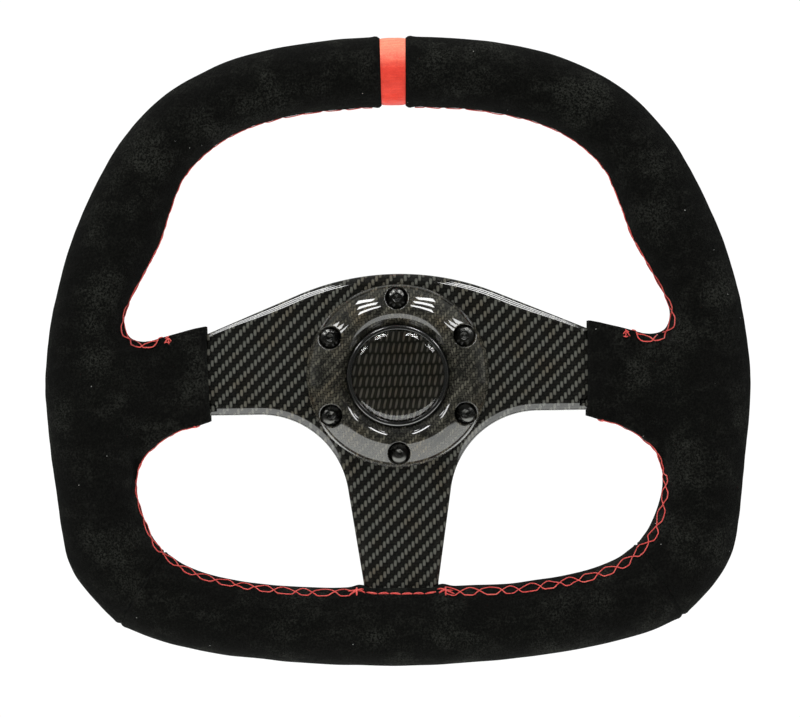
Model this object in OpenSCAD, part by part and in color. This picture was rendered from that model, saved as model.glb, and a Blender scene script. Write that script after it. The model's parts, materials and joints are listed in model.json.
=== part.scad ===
// Quick release steering wheel: a flat-bottomed three-spoke wheel in a suede cover,
// and the ball-lock hub that it pulls off. Millimetres.
// Everything is drawn face up, with the axle along +Z and the wheel's top along +Y, and
// facing() then stands it up, so that the driver's side looks along -Y. A height in this
// file is a distance from the hub's mounting face towards the driver.

/* [Wheel] */
// Overall width of the rim
wheel_w = 320; // [316:1:324]
// Thickness of the rim from front to back
rim_depth = 29; // [28:0.5:32]
// Thickness of the suede cover
cover_t = 1.3; // [1:0.1:1.6]
// Thickness of the padded cuffs at the spokes
cuff_depth = 14; // [13:1:16]
// Width of the red centre marker
marker_w = 12; // [8:1:20]
// Thickness of the spoke plate
plate_t = 5; // [4.5:0.5:5.5]

/* [Bolt circle] */
// Diameter of the circle that the six bolts stand on
bolt_circle = 70; // [70:0.5:71]
// Radius of the clearance holes in the column flange
flange_hole_r = 2.65; // [2.6:0.05:2.8]

/* [Trim ring and horn button] */
// Outer diameter of the trim ring
trim_od = 83; // [80:1:86]
// Height of the trim ring's crest over the spoke plate
trim_h = 9; // [8:0.5:10]
// Diameter of the horn button
horn_d = 45.6; // [44:0.2:46]
// Travel of the horn button
horn_travel = 2.5; // [2:0.1:3]

/* [Quick release] */
// Diameter of the spigot that the wheel slides on
spigot_d = 44; // [42:1:44]
// Travel of the release sleeve
sleeve_travel = 4; // [3.5:0.5:4.5]
// Outer diameter of the release sleeve
sleeve_od = 70; // [68:1:72]

/* [Hidden] */

fine = 96;                     // facets on a turned part
small = 32;                    // facets on a hole or a pin

// Heights of the column side
flange_t = 8;
nose_h = 37;                   // end of the spigot
spigot_r = spigot_d / 2;
column_bore_r = 13;
column_bore_h = 27;
insulator_r = 12;
pin_r = 2.5;
pin_circle = 17;
pin_angles = [90, 215, 325];

// Heights of the wheel side
barrel_h = 9.5;                // column end of the barrel
barrel_r = spigot_r + 5.8;
web_h = 38;                    // back face of the web that the spokes bolt to
plate_h = 44;                  // back face of the spoke plate
rim_h = plate_h + plate_t / 2; // middle of the rim
trim_base = plate_h + plate_t;
run = 0.05;                    // radial clearance of a running fit

// Balls: centre height, and how far out they stand with the sleeve drawn back and locked
ball_h = 21;
ball_r = 3.5;
ball_out = spigot_r + 3.6;
ball_in = spigot_r + 2.35;
cone_slope = (ball_out - ball_in) / sleeve_travel;
snap_top = 12.45;              // wheel-side face of the snap ring

// Heights of the horn, with the button up
housing_floor = 46.3;
collar_top = 52.2;
cap_base = collar_top + 0.3 + horn_travel;
contact_top = housing_floor + 0.6;
skirt_h = housing_floor + 0.2 + horn_travel;
moving_h = contact_top + 0.1 + horn_travel;
post_angles = [0, 120, 240];
post_circle = 9.25;

// Bolts
bolt_r = 2.5;
bolt_seat = 50.8;              // height that the bolt heads seat at
bolt_angles = [for (i = [0:5]) 30 + 60 * i];

// Rivets that join the spoke plate to the core, as [x, y]
rivet_places = [[142, 8], [142, -6], [-142, 8], [-142, -6], [9, -113.5], [-9, -113.5]];

// Edge of the rim on the right half, from the top centre to the bottom centre. Each row
// is a section: outer x, outer y, inner x, inner y. Rows 11 to 22 fan out round the cuff.
EDGE = [[0, 154, 0, 122], [34, 152, 28, 121], [62, 147.5, 52, 117.5], [86, 139, 72, 111],
    [106, 127, 86, 102], [122, 110.5, 96, 91], [134, 92, 102, 77], [143, 73, 107, 62],
    [150.5, 53, 115, 47], [155.5, 34, 121.5, 35], [158, 20, 123.8, 26], [159.2, 10, 121, 19],
    [159.7, 4.5, 113, 17.3], [159.9, 2, 103, 19.8], [160, 0, 91, 22.7], [160, -1, 86.3, 22.2],
    [160, -2.5, 85.6, 2], [160, -4, 85, -17.5], [160, -5, 90, -20.3], [159.9, -8, 100, -24],
    [159.6, -13, 110, -29.8], [159, -22, 117, -37.5], [157.8, -33, 119.4, -47],
    [155.7, -50, 118.6, -56], [153.6, -68, 116, -64], [150.5, -82.5, 113.3, -70],
    [142.5, -96, 110.7, -74], [127.5, -110.5, 107, -78], [110, -118.5, 97, -85],
    [84, -124.8, 79, -91], [50, -129.2, 50, -95], [22, -131.2, 22, -95.9],
    [0, -131.7, 0, -96]];
LAST = len(EDGE) - 1;
seam_row = 27;                 // the lower seams lie on this section
marker_edge = marker_w / 2 / EDGE[1][0];

// Middle line of the core bar on the right half, from the top centre to the bottom centre
CORE = [[0, 138], [30, 136.5], [57, 132], [78, 124.5], [96, 114], [110, 100], [119, 84],
    [126, 67], [133, 49.5], [139, 33], [141.5, 15], [142, -5], [141, -25], [138.5, -45],
    [135.5, -62], [131, -78], [123, -91], [110, -100], [88, -107.5], [50, -112],
    [0, -113.8]];
core_w = 9;
core_t = 4.5;
gap = 0.15;                    // air round a piece that sits in the foam

side_points = 12;              // points round a rim section
lobe_w = 40;                   // width above which a section belongs to a cuff

// ---------- functions ----------

// A Catmull-Rom curve through rows b and c, at t from 0 to 1
function between(a, b, c, d, t) =
    0.5 * (2 * b + (c - a) * t + (2 * a - 5 * b + 4 * c - d) * t * t
    + (3 * b - a - 3 * c + d) * t * t * t);

// A row with its x values turned over
function flip(row) = [for (i = [0:len(row) - 1]) (i % 2 == 0 ? -1 : 1) * row[i]];

// Row i of a half list that carries on past both of its ends in mirror image
function row_at(rows, i) =
    i < 0 ? flip(rows[-i])
    : i > len(rows) - 1 ? flip(rows[2 * (len(rows) - 1) - i])
    : rows[i];

// The curve through a half list at place s. It is below 0 on the left side, and past the
// last row it comes back up the left side from the bottom centre.
function along(rows, s) =
    s < 0 ? flip(along(rows, -s))
    : s > len(rows) - 1 ? flip(along(rows, 2 * (len(rows) - 1) - s))
    : let (i = min(floor(s), len(rows) - 2))
    between(row_at(rows, i - 1), rows[i], rows[i + 1], row_at(rows, i + 2), s - i);

// Half thickness of the rim, u millimetres in from the outer edge of a section l wide:
// an ellipse for the rim, joined to a flat tongue with a rounded end for the cuff
function half_depth(u, l) =
    let (lobe = l <= lobe_w ? l : lobe_w + 0.35 * (l - lobe_w),
         step = min(1, max(0, (l - lobe_w) / 12)),
         tongue = cuff_depth / 2 * step * step * (3 - 2 * step),
         rim = rim_depth / 2 * sqrt(max(0, 1 - pow(2 * u / lobe - 1, 2))),
         rim_part = u < lobe ? rim : 0,
         start = sqrt(max(0, 1 - pow(max(0, 1 - u / 20), 2))),
         end = pow(max(0, 1 - pow(max(0, 1 - (l - u) / 5), 4)), 0.25))
    pow(pow(rim_part, 3) + pow(tongue * start * end, 3), 1 / 3);

// A point of the section at s, at angle a round it and set in by inset
function skin(s, a, inset) =
    let (e = along(EDGE, s), o = [e[0], e[1]], i = [e[2], e[3]], l = norm(i - o),
         t = (1 - cos(a)) / 2, p = o + (i - o) / l * (inset + t * (l - 2 * inset)),
         h = half_depth(t * l, l) * (1 - 2 * inset / rim_depth))
    [p[0] * wheel_w / 320, p[1], rim_h + (a < 180 ? h : -h)];

// One closed section of the rim
function section(s, inset) =
    [for (k = [0:side_points - 1]) skin(s, 360 * k / side_points, inset)];

// Stations from one place to another: both ends, and every half row between them
function stations(from, to) = concat(
    [from], [for (j = [floor(2 * from) + 1:ceil(2 * to) - 1]) j / 2], [to]);

// Triangles of the strip between two rings of n points, ring a and ring b
function strip(a, b, n) =
    [for (k = [0:n - 1]) let (m = (k + 1) % n)
        each [[a + k, b + k, b + m], [a + k, b + m, a + m]]];

// The same strip with its triangles facing the other way
function lining(a, b, n) = [for (t = strip(a, b, n)) [t[0], t[2], t[1]]];

function reversed(list) = [for (j = [len(list) - 1:-1:0]) list[j]];

// Outline of a bar of width w round the core's middle line
function core_outline(w) =
    let (n = 2 * (len(CORE) - 1), steps = 2)
    [for (j = [0:n * steps - 1])
        let (s = j / steps - n / 2, p = along(CORE, s),
             d = along(CORE, s + 0.05) - along(CORE, s - 0.05))
        p + w / 2 * [-d[1], d[0]] / norm(d)];

function arc(x, y, r, from, to, n) =
    [for (j = [0:n]) let (a = from + (to - from) * j / n) [x + r * cos(a), y + r * sin(a)]];

// ---------- shared shapes ----------

module facing() { rotate([90, 0, 0]) children(); }

module at_circle(r, angles) {
    for (a = angles) rotate(a) translate([r, 0, 0]) children();
}

module tube(r_out, r_in, from, to) {
    translate([0, 0, from]) linear_extrude(to - from) difference() {
        circle(r_out, $fn = fine);
        circle(r_in, $fn = fine);
    }
}

module disc(r, from, to, facets = fine) {
    translate([0, 0, from]) cylinder(r = r, h = to - from, $fn = facets);
}

// A skin of the rim from station to station, between two insets
module rim_shell(from, to, outer, inner) {
    st = stations(from, to);
    n = side_points;
    last = len(st) - 1;
    far = n * len(st);
    points = concat([for (s = st) each section(s, outer)],
                    [for (s = st) each section(s, inner)]);
    faces = concat(
        [for (j = [0:last - 1]) each strip(j * n, (j + 1) * n, n)],
        [for (j = [0:last - 1]) each lining(far + j * n, far + (j + 1) * n, n)],
        strip(far, 0, n),
        strip(last * n, far + last * n, n));
    polyhedron(points, faces);
}

// The whole rim as one closed ring, set in by inset
module rim_ring(inset) {
    st = [for (j = [0:4 * LAST - 1]) j / 2 - LAST];
    n = side_points;
    points = [for (s = st) each section(s, inset)];
    faces = [for (j = [0:len(st) - 1])
        each strip(j * n, ((j + 1) % len(st)) * n, n)];
    polyhedron(points, faces);
}

// A wire coil round the axle
module coil(r, wire, from, to, turns) {
    sides = 8;
    rings = turns * 24;
    points = [for (j = [0:rings]) let (a = 360 * turns * j / rings,
              h = from + wire + (to - from - 2 * wire) * j / rings)
        for (k = [0:sides - 1]) let (q = 360 * k / sides)
            [(r + wire * cos(q)) * cos(a), (r + wire * cos(q)) * sin(a), h + wire * sin(q)]];
    faces = concat([for (j = [0:rings - 1]) each strip(j * sides, (j + 1) * sides, sides)],
        [[for (k = [0:sides - 1]) k]],
        [[for (k = [sides - 1:-1:0]) rings * sides + k]]);
    polyhedron(points, faces);
}

// Thread that crosses the inner edge of the rim to and fro
module cross_stitch(from, to) {
    thread = 0.4;              // half the thread's thickness
    proud = 1.1;               // how far its middle stands off the suede
    reach = 13;                // degrees round the section to each side of the edge
    pitch = 4.5;               // length of one stitch along the edge
    rows = [for (i = [0:LAST - 1]) norm([EDGE[i + 1][2] - EDGE[i][2],
            EDGE[i + 1][3] - EDGE[i][3]])];
    st = [for (i = [floor(from):ceil(to) - 1]) let (n = max(1, round(rows[i] / pitch)))
        for (j = [0:n - 1]) if (i + j / n >= from && i + j / n <= to) i + j / n];
    mid = [for (j = [0:len(st) - 1]) let (s = st[j], e = along(EDGE, s),
           out = [e[2] - e[0], e[3] - e[1], 0])
        skin(s, 180 + (j % 2 == 0 ? reach : -reach), 0) + proud * out / norm(out)];
    points = [for (j = [0:len(st) - 1]) let (e = along(EDGE, st[j]),
              out = [e[2] - e[0], e[3] - e[1], 0] / norm([e[2] - e[0], e[3] - e[1]]))
        for (c = [[1, 0], [0, 1], [-1, 0], [0, -1]])
            mid[j] + thread * c[0] * out + [0, 0, thread * c[1]]];
    last = 4 * (len(st) - 1);
    faces = concat([for (j = [0:len(st) - 2]) each strip(j * 4, j * 4 + 4, 4)],
        [[0, 1, 2, 3]], [[last + 3, last + 2, last + 1, last]]);
    polyhedron(points, faces);
}

// ---------- column side ----------

module hub_flange() {
    color("dimgray") facing() difference() {
        rotate_extrude($fn = fine) polygon([[0, 0], [42.2, 0], [43, 0.8], [43, 7.2],
            [42.2, flange_t], [spigot_r, flange_t], [spigot_r, nose_h - 1.5],
            [spigot_r - 1.5, nose_h], [0, nose_h]]);
        disc(column_bore_r, -1, column_bore_h);
        disc(insulator_r, column_bore_h - 1, nose_h + 1);
        at_circle(bolt_circle / 2, bolt_angles) disc(flange_hole_r, -1, flange_t + 1, small);
        at_circle(pin_circle, pin_angles) disc(pin_r, 28, nose_h + 1, small);
        rotate_extrude($fn = fine) translate([ball_in + run, ball_h])
            circle(ball_r + 0.12, $fn = 48);
    }
}

module drive_pins() {
    r = pin_r - 0.02;
    color("silver") facing() at_circle(pin_circle, pin_angles) rotate_extrude($fn = small)
        polygon([[0, 28.1], [r, 28.1], [r, 42], [r - 0.8, 43], [0, 43]]);
}

module anti_rattle_ring() {
    color("black") facing() tube(27, spigot_r + 0.4, flange_t, 9.2);
}

module contact_insulator() {
    color("ivory") facing() difference() {
        disc(insulator_r - 0.03, 29, 35);
        disc(1.5, 28, 36, small);
        disc(9, 34, 36);
    }
}

module contact_disc() {
    color("gold") facing() {
        disc(8.9, 34, 35);
        disc(1.4, 30, 34.5, small);
    }
}

// ---------- wheel side of the quick release ----------

module release_body() {
    color("dimgray") facing() difference() {
        rotate_extrude($fn = fine) polygon([[0, web_h], [spigot_r + run, web_h],
            [spigot_r + run, barrel_h + 1.2], [spigot_r + 1.2, barrel_h],
            [barrel_r - 0.4, barrel_h], [barrel_r, barrel_h + 0.4], [barrel_r, 11.2],
            [barrel_r - 1.1, 11.2], [barrel_r - 1.1, 12.5], [barrel_r, 12.5],
            [barrel_r, web_h],
            [40.2, web_h], [41, web_h + 0.8], [41, plate_h - 0.6], [40.4, plate_h],
            [0, plate_h]]);
        disc(6.05, web_h - 1, plate_h + 1);
        at_circle(pin_circle, pin_angles) disc(pin_r + 0.06, web_h - 1, plate_h + 1, small);
        at_circle(bolt_circle / 2, bolt_angles)
            disc(bolt_r + run, web_h - 1, plate_h + 1, small);
        for (i = [0:5]) rotate(60 * i) translate([0, 0, ball_h]) rotate([0, 90, 0]) {
            translate([0, 0, spigot_r + 0.35]) cylinder(r = ball_r + 0.04, h = 7, $fn = small);
            translate([0, 0, spigot_r - 2]) cylinder(r = 3, h = 3, $fn = small);
        }
    }
}

module snap_ring() {
    color("silver") facing() difference() {
        tube(barrel_r + 2.4, barrel_r - 1, snap_top - 1.2, snap_top);
        translate([-3, -32, snap_top - 2]) cube([6, 10, 3]);
    }
}

module sleeve_spring() {
    color("silver") facing() coil(barrel_r + 1.75, 0.75, 31.25, web_h - 0.05, 3);
}

// Drawn back to release, which is 4 mm nearer the driver than locked
module release_sleeve() {
    cone_at = ball_out + (ball_r + 0.1) / cos(atan(cone_slope));
    land = barrel_r + 0.07;
    relief = barrel_r + 1.6;
    over_ring = barrel_r + 2.8;
    pocket = barrel_r + 3.6;
    color("firebrick") facing() difference() {
        rotate_extrude($fn = fine) polygon([[over_ring, 13.7], [sleeve_od / 2 - 1, 13.7],
            [sleeve_od / 2, 14.7], [sleeve_od / 2, 36.2], [sleeve_od / 2 - 1, 37.2],
            [pocket, 37.2], [pocket, 31.2], [land, 31.2],
            [land, ball_h + (cone_at - land) / cone_slope],
            [relief, ball_h + (cone_at - relief) / cone_slope],
            [relief, snap_top + sleeve_travel + run],
            [over_ring, snap_top + sleeve_travel + run]]);
        at_circle(sleeve_od / 2 + 3.2, [for (i = [0:17]) 20 * i]) disc(4.4, 16.5, 34.5, small);
    }
}

module ball(i) {
    color("gainsboro") facing() rotate(60 * (i - 1)) translate([ball_out, 0, ball_h])
        sphere(r = ball_r, $fn = 48);
}

// ---------- horn ----------

module contact_bush() {
    color("ivory") facing() difference() {
        disc(6, web_h, housing_floor);
        disc(2.45, web_h - 1, 41, small);
        disc(4.2, 40.1, 47, small);
    }
}

module contact_plunger() {
    color("gold") facing() {
        rotate_extrude($fn = 48) polygon([[0, 35.1], [1.2, 35.1], [2.4, 36.3],
            [2.4, 40.2], [3.8, 40.2], [3.8, 41.1], [1, 41.1], [1, 46.6], [0, 46.6]]);
    }
}

module plunger_spring() {
    color("silver") facing() coil(2.7, 0.35, 41.15, housing_floor - 0.05, 4);
}

module horn_contact_plate() {
    color("gold") facing() difference() {
        union() {
            tube(11, 7.5, housing_floor, contact_top);
            disc(5.6, housing_floor, contact_top);
            translate([-2, 4, housing_floor]) cube([4, 5, contact_top - housing_floor]);
        }
        disc(1.2, 46, 47, small);
    }
}

module horn_housing() {
    color("black") facing() difference() {
        union() {
            disc(25.2, plate_h, trim_base);
            disc(22.9, trim_base - 1, collar_top);
        }
        disc(20.6, housing_floor, collar_top + 1);
        disc(6.3, plate_h - 1, 47);
    }
}

module horn_spring() {
    color("silver") facing() coil(14, 0.6, housing_floor + 0.05, cap_base - 0.05, 4);
}

module horn_cap() {
    color("black") facing() {
        rotate_extrude($fn = fine) polygon(concat([[17.6, skirt_h], [20.3, skirt_h],
            [20.3, cap_base], [horn_d / 2, cap_base]],
            arc(horn_d / 2 - 1, cap_base + 3.2, 1, 0, 90, 6),
            [[20.9, cap_base + 4.2], [20.9, cap_base + 2], [0, cap_base + 2],
             [0, cap_base], [17.6, cap_base]]));
        at_circle(post_circle, post_angles) disc(1.2, moving_h, cap_base + 0.5, small);
    }
}

module moving_contact() {
    color("gold") facing() difference() {
        tube(11, 7.5, moving_h, moving_h + 0.6);
        at_circle(post_circle, post_angles) disc(1.25, moving_h - 1, moving_h + 1, small);
    }
}

module emblem_disc() {
    color("darkslategray") facing() disc(20.8, cap_base + 2, cap_base + 2.6);
}

module lens() {
    dome = 110;                // radius that the lens is domed to
    base = cap_base + 2.6;
    color("lightgray", 0.4) facing() rotate_extrude($fn = fine)
        polygon(concat([[0, base], [20.8, base], [20.8, base + 0.8]],
            arc(0, base + 3 - dome, dome, 79.2, 90, 8)));
}

// ---------- wheel ----------

// Right half of the spoke plate's outline, from the top centre round to the bottom
function plate_side() = concat(
    arc(0, -71, 117.2, 90, 67.4, 8),
    [[87, 19.8], [87, 15], [147, 15], [147, -13], [87, -13], [87, -17]],
    arc(63, -57, 40, 90, 171.3, 10),
    [[17, -94], [17, -118]]);

module spoke_plate() {
    right = plate_side();
    color("darkslategray") facing() translate([0, 0, plate_h]) linear_extrude(plate_t)
        difference() {
            polygon(concat(right, reversed([for (j = [1:len(right) - 1])
                [-right[j][0], right[j][1]]])));
            circle(25.4, $fn = fine);
            at_circle(bolt_circle / 2, bolt_angles) circle(bolt_r + 0.2, $fn = small);
            for (p = rivet_places) translate(p) circle(bolt_r + run, $fn = small);
        }
}

module trim_ring() {
    r = trim_od / 2;
    color("dimgray") facing() difference() {
        rotate_extrude($fn = fine) translate([0, trim_base]) polygon(concat(
            [[23.2, 0], [r - 0.4, 0], [r, 0.5], [r, 1.1], [r - 0.4, trim_h - 6.9]],
            [for (p = [[40.4, 5.8], [39.5, 4.9], [38, 3.7], [36.2, 2.4], [34.5, 1.35], [33, 0.68],
                       [31, 0.18], [29, 0], [27, 0.2], [26, 0.45], [25.2, 0.8], [24.4, 1.3],
                       [23.6, 1.9], [23.2, 2.4]]) [p[0], trim_h - p[1]]]));
        at_circle(bolt_circle / 2, bolt_angles) {
            disc(bolt_r + 0.2, trim_base - 1, 60, small);
            disc(5.3, bolt_seat, 60, small);
        }
    }
}

module wheel_bolts() {
    head_r = 4.75;
    color("black") facing() at_circle(bolt_circle / 2, bolt_angles) difference() {
        union() {
            disc(bolt_r, 39, bolt_seat + 0.1, small);
            rotate_extrude($fn = 48) translate([0, bolt_seat]) polygon(concat(
                [[0, 0], [head_r, 0], [head_r, 0.6]],
                [for (a = [20:20:60]) [head_r * cos(a), 0.6 + 2.4 * sin(a)]],
                [[0, 2.75]]));
        }
        translate([0, 0, bolt_seat + 0.9]) cylinder(r = 1.73, h = 3, $fn = 6);
    }
}

module rim_core() {
    color("silver") facing() difference() {
        translate([0, 0, plate_h - core_t]) linear_extrude(core_t) difference() {
            polygon(core_outline(core_w));
            polygon(core_outline(-core_w));
        }
        for (p = rivet_places) translate(p) disc(bolt_r + run, 30, 50, small);
    }
}

module core_rivets() {
    head_r = 4.2;
    color("silver") facing() for (p = rivet_places) translate(p) {
        disc(bolt_r, plate_h - core_t - 0.1, trim_base + 0.1, small);
        disc(head_r, trim_base, trim_base + 1.4, small);
        disc(head_r, plate_h - core_t - 1.4, plate_h - core_t, small);
    }
}

// Slots that the spoke plate passes through, wide enough for the plate and a little air
module plate_slots() {
    low = plate_h - gap;
    tall = plate_t + 2 * gap;
    for (side = [-1, 1]) {
        translate([side == 1 ? 80 : -87.2, -17.3, low]) cube([7.2, 37.8, tall]);
        translate([side == 1 ? 80 : -147.2, -13.2, low]) cube([67.2, 28.4, tall]);
    }
    translate([-17.3, -118.2, low]) cube([34.6, 30, tall]);
}

module core_channel() {
    translate([0, 0, plate_h - core_t - gap]) linear_extrude(core_t + 2 * gap) difference() {
        polygon(core_outline(core_w + 2 * gap));
        polygon(core_outline(-core_w - 2 * gap));
    }
}

module rim_foam() {
    color("darkgray") facing() difference() {
        rim_ring(cover_t + gap);
        core_channel();
        plate_slots();
        for (p = rivet_places) translate(p)
            disc(4.5, plate_h - core_t - 1.6, trim_base + 1.6, small);
    }
}

module cover(from, to) {
    color([0.07, 0.07, 0.07]) facing() difference() {
        rim_shell(from, to, 0, cover_t);
        plate_slots();
    }
}

module centre_marker() {
    color("tomato") facing() rim_shell(-marker_edge, marker_edge, 0.5, cover_t);
}

module stitching(from, to, side) {
    color("crimson") facing() mirror([side == "left" ? 1 : 0, 0, 0]) cross_stitch(from, to);
}

// Running stitch along the edge of the cover where the bottom spoke goes in
module stitch_hem() {
    color("crimson") facing() for (i = [-2.5:2.5]) translate([5.2 * i - 1.9, -98.6, 54.8])
        rotate([0, 90, 0]) cylinder(r = 0.45, h = 3.8, $fn = 16);
}

hub_flange();
drive_pins();
anti_rattle_ring();
contact_insulator();
contact_disc();
release_body();
snap_ring();
sleeve_spring();
contact_bush();
plunger_spring();
horn_contact_plate();
horn_housing();
horn_spring();
spoke_plate();
trim_ring();
wheel_bolts();
rim_core();
core_rivets();
rim_foam();
cover(-seam_row, -marker_edge);  // cover_left
cover(marker_edge, seam_row);  // cover_right
cover(seam_row, 2 * LAST - seam_row);  // cover_bottom
centre_marker();
stitching(0.3, 13.4, "left");  // stitch_upper_left
stitching(0.3, 13.4, "right");  // stitch_upper_right
stitching(18.2, 31, "left");  // stitch_lower_left
stitching(18.2, 31, "right");  // stitch_lower_right
stitch_hem();
release_sleeve();
ball(1);  // ball_1
ball(2);  // ball_2
ball(3);  // ball_3
ball(4);  // ball_4
ball(5);  // ball_5
ball(6);  // ball_6
contact_plunger();
horn_cap();
emblem_disc();
lens();
moving_contact();
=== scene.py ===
"""Looks of a flat-bottomed suede steering wheel on its ball-lock quick release.

Pieces are worked out face up in millimetres, as (x, y, height over the hub's mounting
face), and stand_up() turns them into the frame: +X to the driver's right, -Y towards the
driver, +Z to the top of the wheel.
"""
import json
import logging
import math
from dataclasses import dataclass
from enum import Enum
from typing import Callable

import bmesh
import bpy
import numpy as np
from mathutils import Matrix, Vector
from mathutils.geometry import tessellate_polygon


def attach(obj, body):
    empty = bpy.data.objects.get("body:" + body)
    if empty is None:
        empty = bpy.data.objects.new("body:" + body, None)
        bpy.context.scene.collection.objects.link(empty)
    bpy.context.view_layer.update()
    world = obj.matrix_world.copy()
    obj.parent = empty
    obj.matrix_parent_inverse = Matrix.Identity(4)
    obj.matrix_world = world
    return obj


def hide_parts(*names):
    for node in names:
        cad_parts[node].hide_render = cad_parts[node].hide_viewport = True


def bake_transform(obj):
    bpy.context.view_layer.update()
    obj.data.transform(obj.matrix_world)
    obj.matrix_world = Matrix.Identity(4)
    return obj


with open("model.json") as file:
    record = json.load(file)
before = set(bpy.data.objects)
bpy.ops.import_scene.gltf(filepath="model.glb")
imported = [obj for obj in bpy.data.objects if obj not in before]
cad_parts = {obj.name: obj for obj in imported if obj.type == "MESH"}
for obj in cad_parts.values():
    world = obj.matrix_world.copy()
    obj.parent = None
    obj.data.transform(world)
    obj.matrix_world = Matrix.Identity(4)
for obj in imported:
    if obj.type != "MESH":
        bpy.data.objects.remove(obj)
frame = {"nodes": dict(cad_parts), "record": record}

log = logging.getLogger("steering_wheel")
MM = 0.001
TURN = 2 * math.pi
Array = np.ndarray


class Side(Enum):
    """A side of the wheel, as the sign that x has there."""

    LEFT = -1
    RIGHT = 1


class Weave(Enum):
    """A cloth, as (tows in one repeat, tows that a lengthwise tow passes over)."""

    TWILL = (4.0, 2.0)
    PLAIN = (2.0, 1.0)


# ---------------------------------------------------------------- number helpers


def smooth(value: Array | float, low: float, high: float) -> Array:
    """Ease from 0 at low to 1 at high.

    Args:
        value: Numbers to ease.
        low: Value where the step starts.
        high: Value where the step ends.

    Returns:
        3t^2 - 2t^3, with t the clamped share of the way from low to high.
    """
    t = np.clip((np.asarray(value, float) - low) / (high - low), 0, 1)
    return t * t * (3 - 2 * t)


def hill(value: Array, middle: float, width: float) -> Array:
    """Return a bell of height 1 round middle: e to the minus ((value - middle) / width) squared."""
    return np.exp(-(((value - middle) / width) ** 2))


def unit(vectors: Array) -> Array:
    """Return vectors scaled to length 1 along their last axis."""
    return vectors / np.maximum(np.linalg.norm(vectors, axis=-1, keepdims=True), 1e-12)


def undulation(points: Array, wavelength: float, seed: int) -> Array:
    """Soft unevenness: the mean of seven sines that run in seeded random directions.

    Args:
        points: Places in millimetres, on the last axis.
        wavelength: Mean length of one wave in millimetres.
        seed: Seed of the directions and phases.

    Returns:
        Numbers of about -1 to 1, one for each place.
    """
    count, gain = 7, 1.8
    random = np.random.default_rng(seed)
    directions = unit(random.normal(size=(count, 3))) * random.uniform(0.7, 1.5, (count, 1))
    phases = random.uniform(0, TURN, count)
    waves = np.sin(points @ directions.T * (TURN / wavelength) + phases)
    return waves.mean(axis=-1) * gain


def catmull(rows: Array, place: Array) -> Array:
    """Follow a closed Catmull-Rom curve.

    Args:
        rows: The points that the curve passes through, one row each.
        place: Places along it, where whole numbers are rows.

    Returns:
        One point for each place: the cubic through the four rows round it.
    """
    count = len(rows)
    first = np.floor(place).astype(int)
    t = (place - first)[..., None]
    a, b, c, d = (rows[(first + shift) % count] for shift in (-1, 0, 1, 2))
    return 0.5 * (
        2 * b + (c - a) * t + (2 * a - 5 * b + 4 * c - d) * t**2
        + (3 * b - a - 3 * c + d) * t**3
    )


def resample(points: Array, spacing: float) -> Array:
    """Space points evenly along an open line.

    Args:
        points: The line's corners.
        spacing: Wanted distance between the points.

    Returns:
        Points at equal distances along the line, with both ends kept.
    """
    lengths = run_along(points)
    count = max(2, int(round(lengths[-1] / spacing)) + 1)
    at = np.linspace(0, lengths[-1], count)
    return np.stack([np.interp(at, lengths, column) for column in points.T], axis=1)


def arc(x: float, y: float, radius: float, start: float, end: float, count: int) -> Array:
    """Return count points on the circle of that centre and radius, from start to end degrees."""
    angle = np.radians(np.linspace(start, end, count))
    return np.stack([x + radius * np.cos(angle), y + radius * np.sin(angle)], axis=1)


def run_along(line: Array) -> Array:
    """Return each point's distance from the first, measured along the line."""
    return np.concatenate([[0], np.cumsum(np.linalg.norm(np.diff(line, axis=0), axis=1))])


def polar(radius: Array | float, angle: Array, height: Array | float) -> Array:
    """Return points (x, y, height) at those radii and angles round the axle."""
    flat = radius * np.cos(angle), radius * np.sin(angle)
    return np.stack(np.broadcast_arrays(*flat, height), axis=-1)


def spun(angle: float) -> Array:
    """Return the matrix that turns rows of points by angle round the axle."""
    c, s = math.cos(angle), math.sin(angle)
    return np.array([[c, s, 0], [-s, c, 0], [0, 0, 1]])


def tilted_line(table: tuple, at: Array) -> Array:
    """Heights of a line that leans by amounts from a table.

    Args:
        table: Rows of (place, tilt in degrees), where a tilt above 0 falls as places grow.
        at: Places of the line's points, in order.

    Returns:
        Heights, 0 at the highest point. Each falls by the tangent of the mean tilt.
    """
    places, tilts = np.array(table).T
    slope = np.tan(np.radians(np.interp(at, places, tilts)))
    fall = np.concatenate([[0], np.cumsum((slope[1:] + slope[:-1]) / 2 * np.diff(at))])
    return fall.min() - fall


# ---------------------------------------------------------------- mesh helpers


def stand_up(points: Array) -> Array:
    """Turn face-up millimetres (x, y, height) into the frame's metres (x, -height, y)."""
    return np.stack([points[..., 0], -points[..., 2], points[..., 1]], axis=-1) * MM


def quads(rows: int, columns: int, close_rows: bool = False, close_columns: bool = True) -> Array:
    """Faces of a grid of points.

    Args:
        rows: Rows of the grid.
        columns: Points in a row.
        close_rows: Whether the last row joins the first.
        close_columns: Whether each row is a ring.

    Returns:
        Quads as point numbers, counted row by row.
    """
    r = np.arange(rows if close_rows else rows - 1)[:, None]
    c = np.arange(columns if close_columns else columns - 1)[None, :]
    below, beside = (r + 1) % rows, (c + 1) % columns
    corners = (r * columns + c, below * columns + c, below * columns + beside, r * columns + beside)
    return np.stack([corner + 0 * r + 0 * c for corner in corners], axis=-1).reshape(-1, 4)


def ring_cap(first: int, columns: int) -> Array:
    """Return one face over a ring of points that starts at number first."""
    return np.arange(first, first + columns)[None, :]


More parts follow.
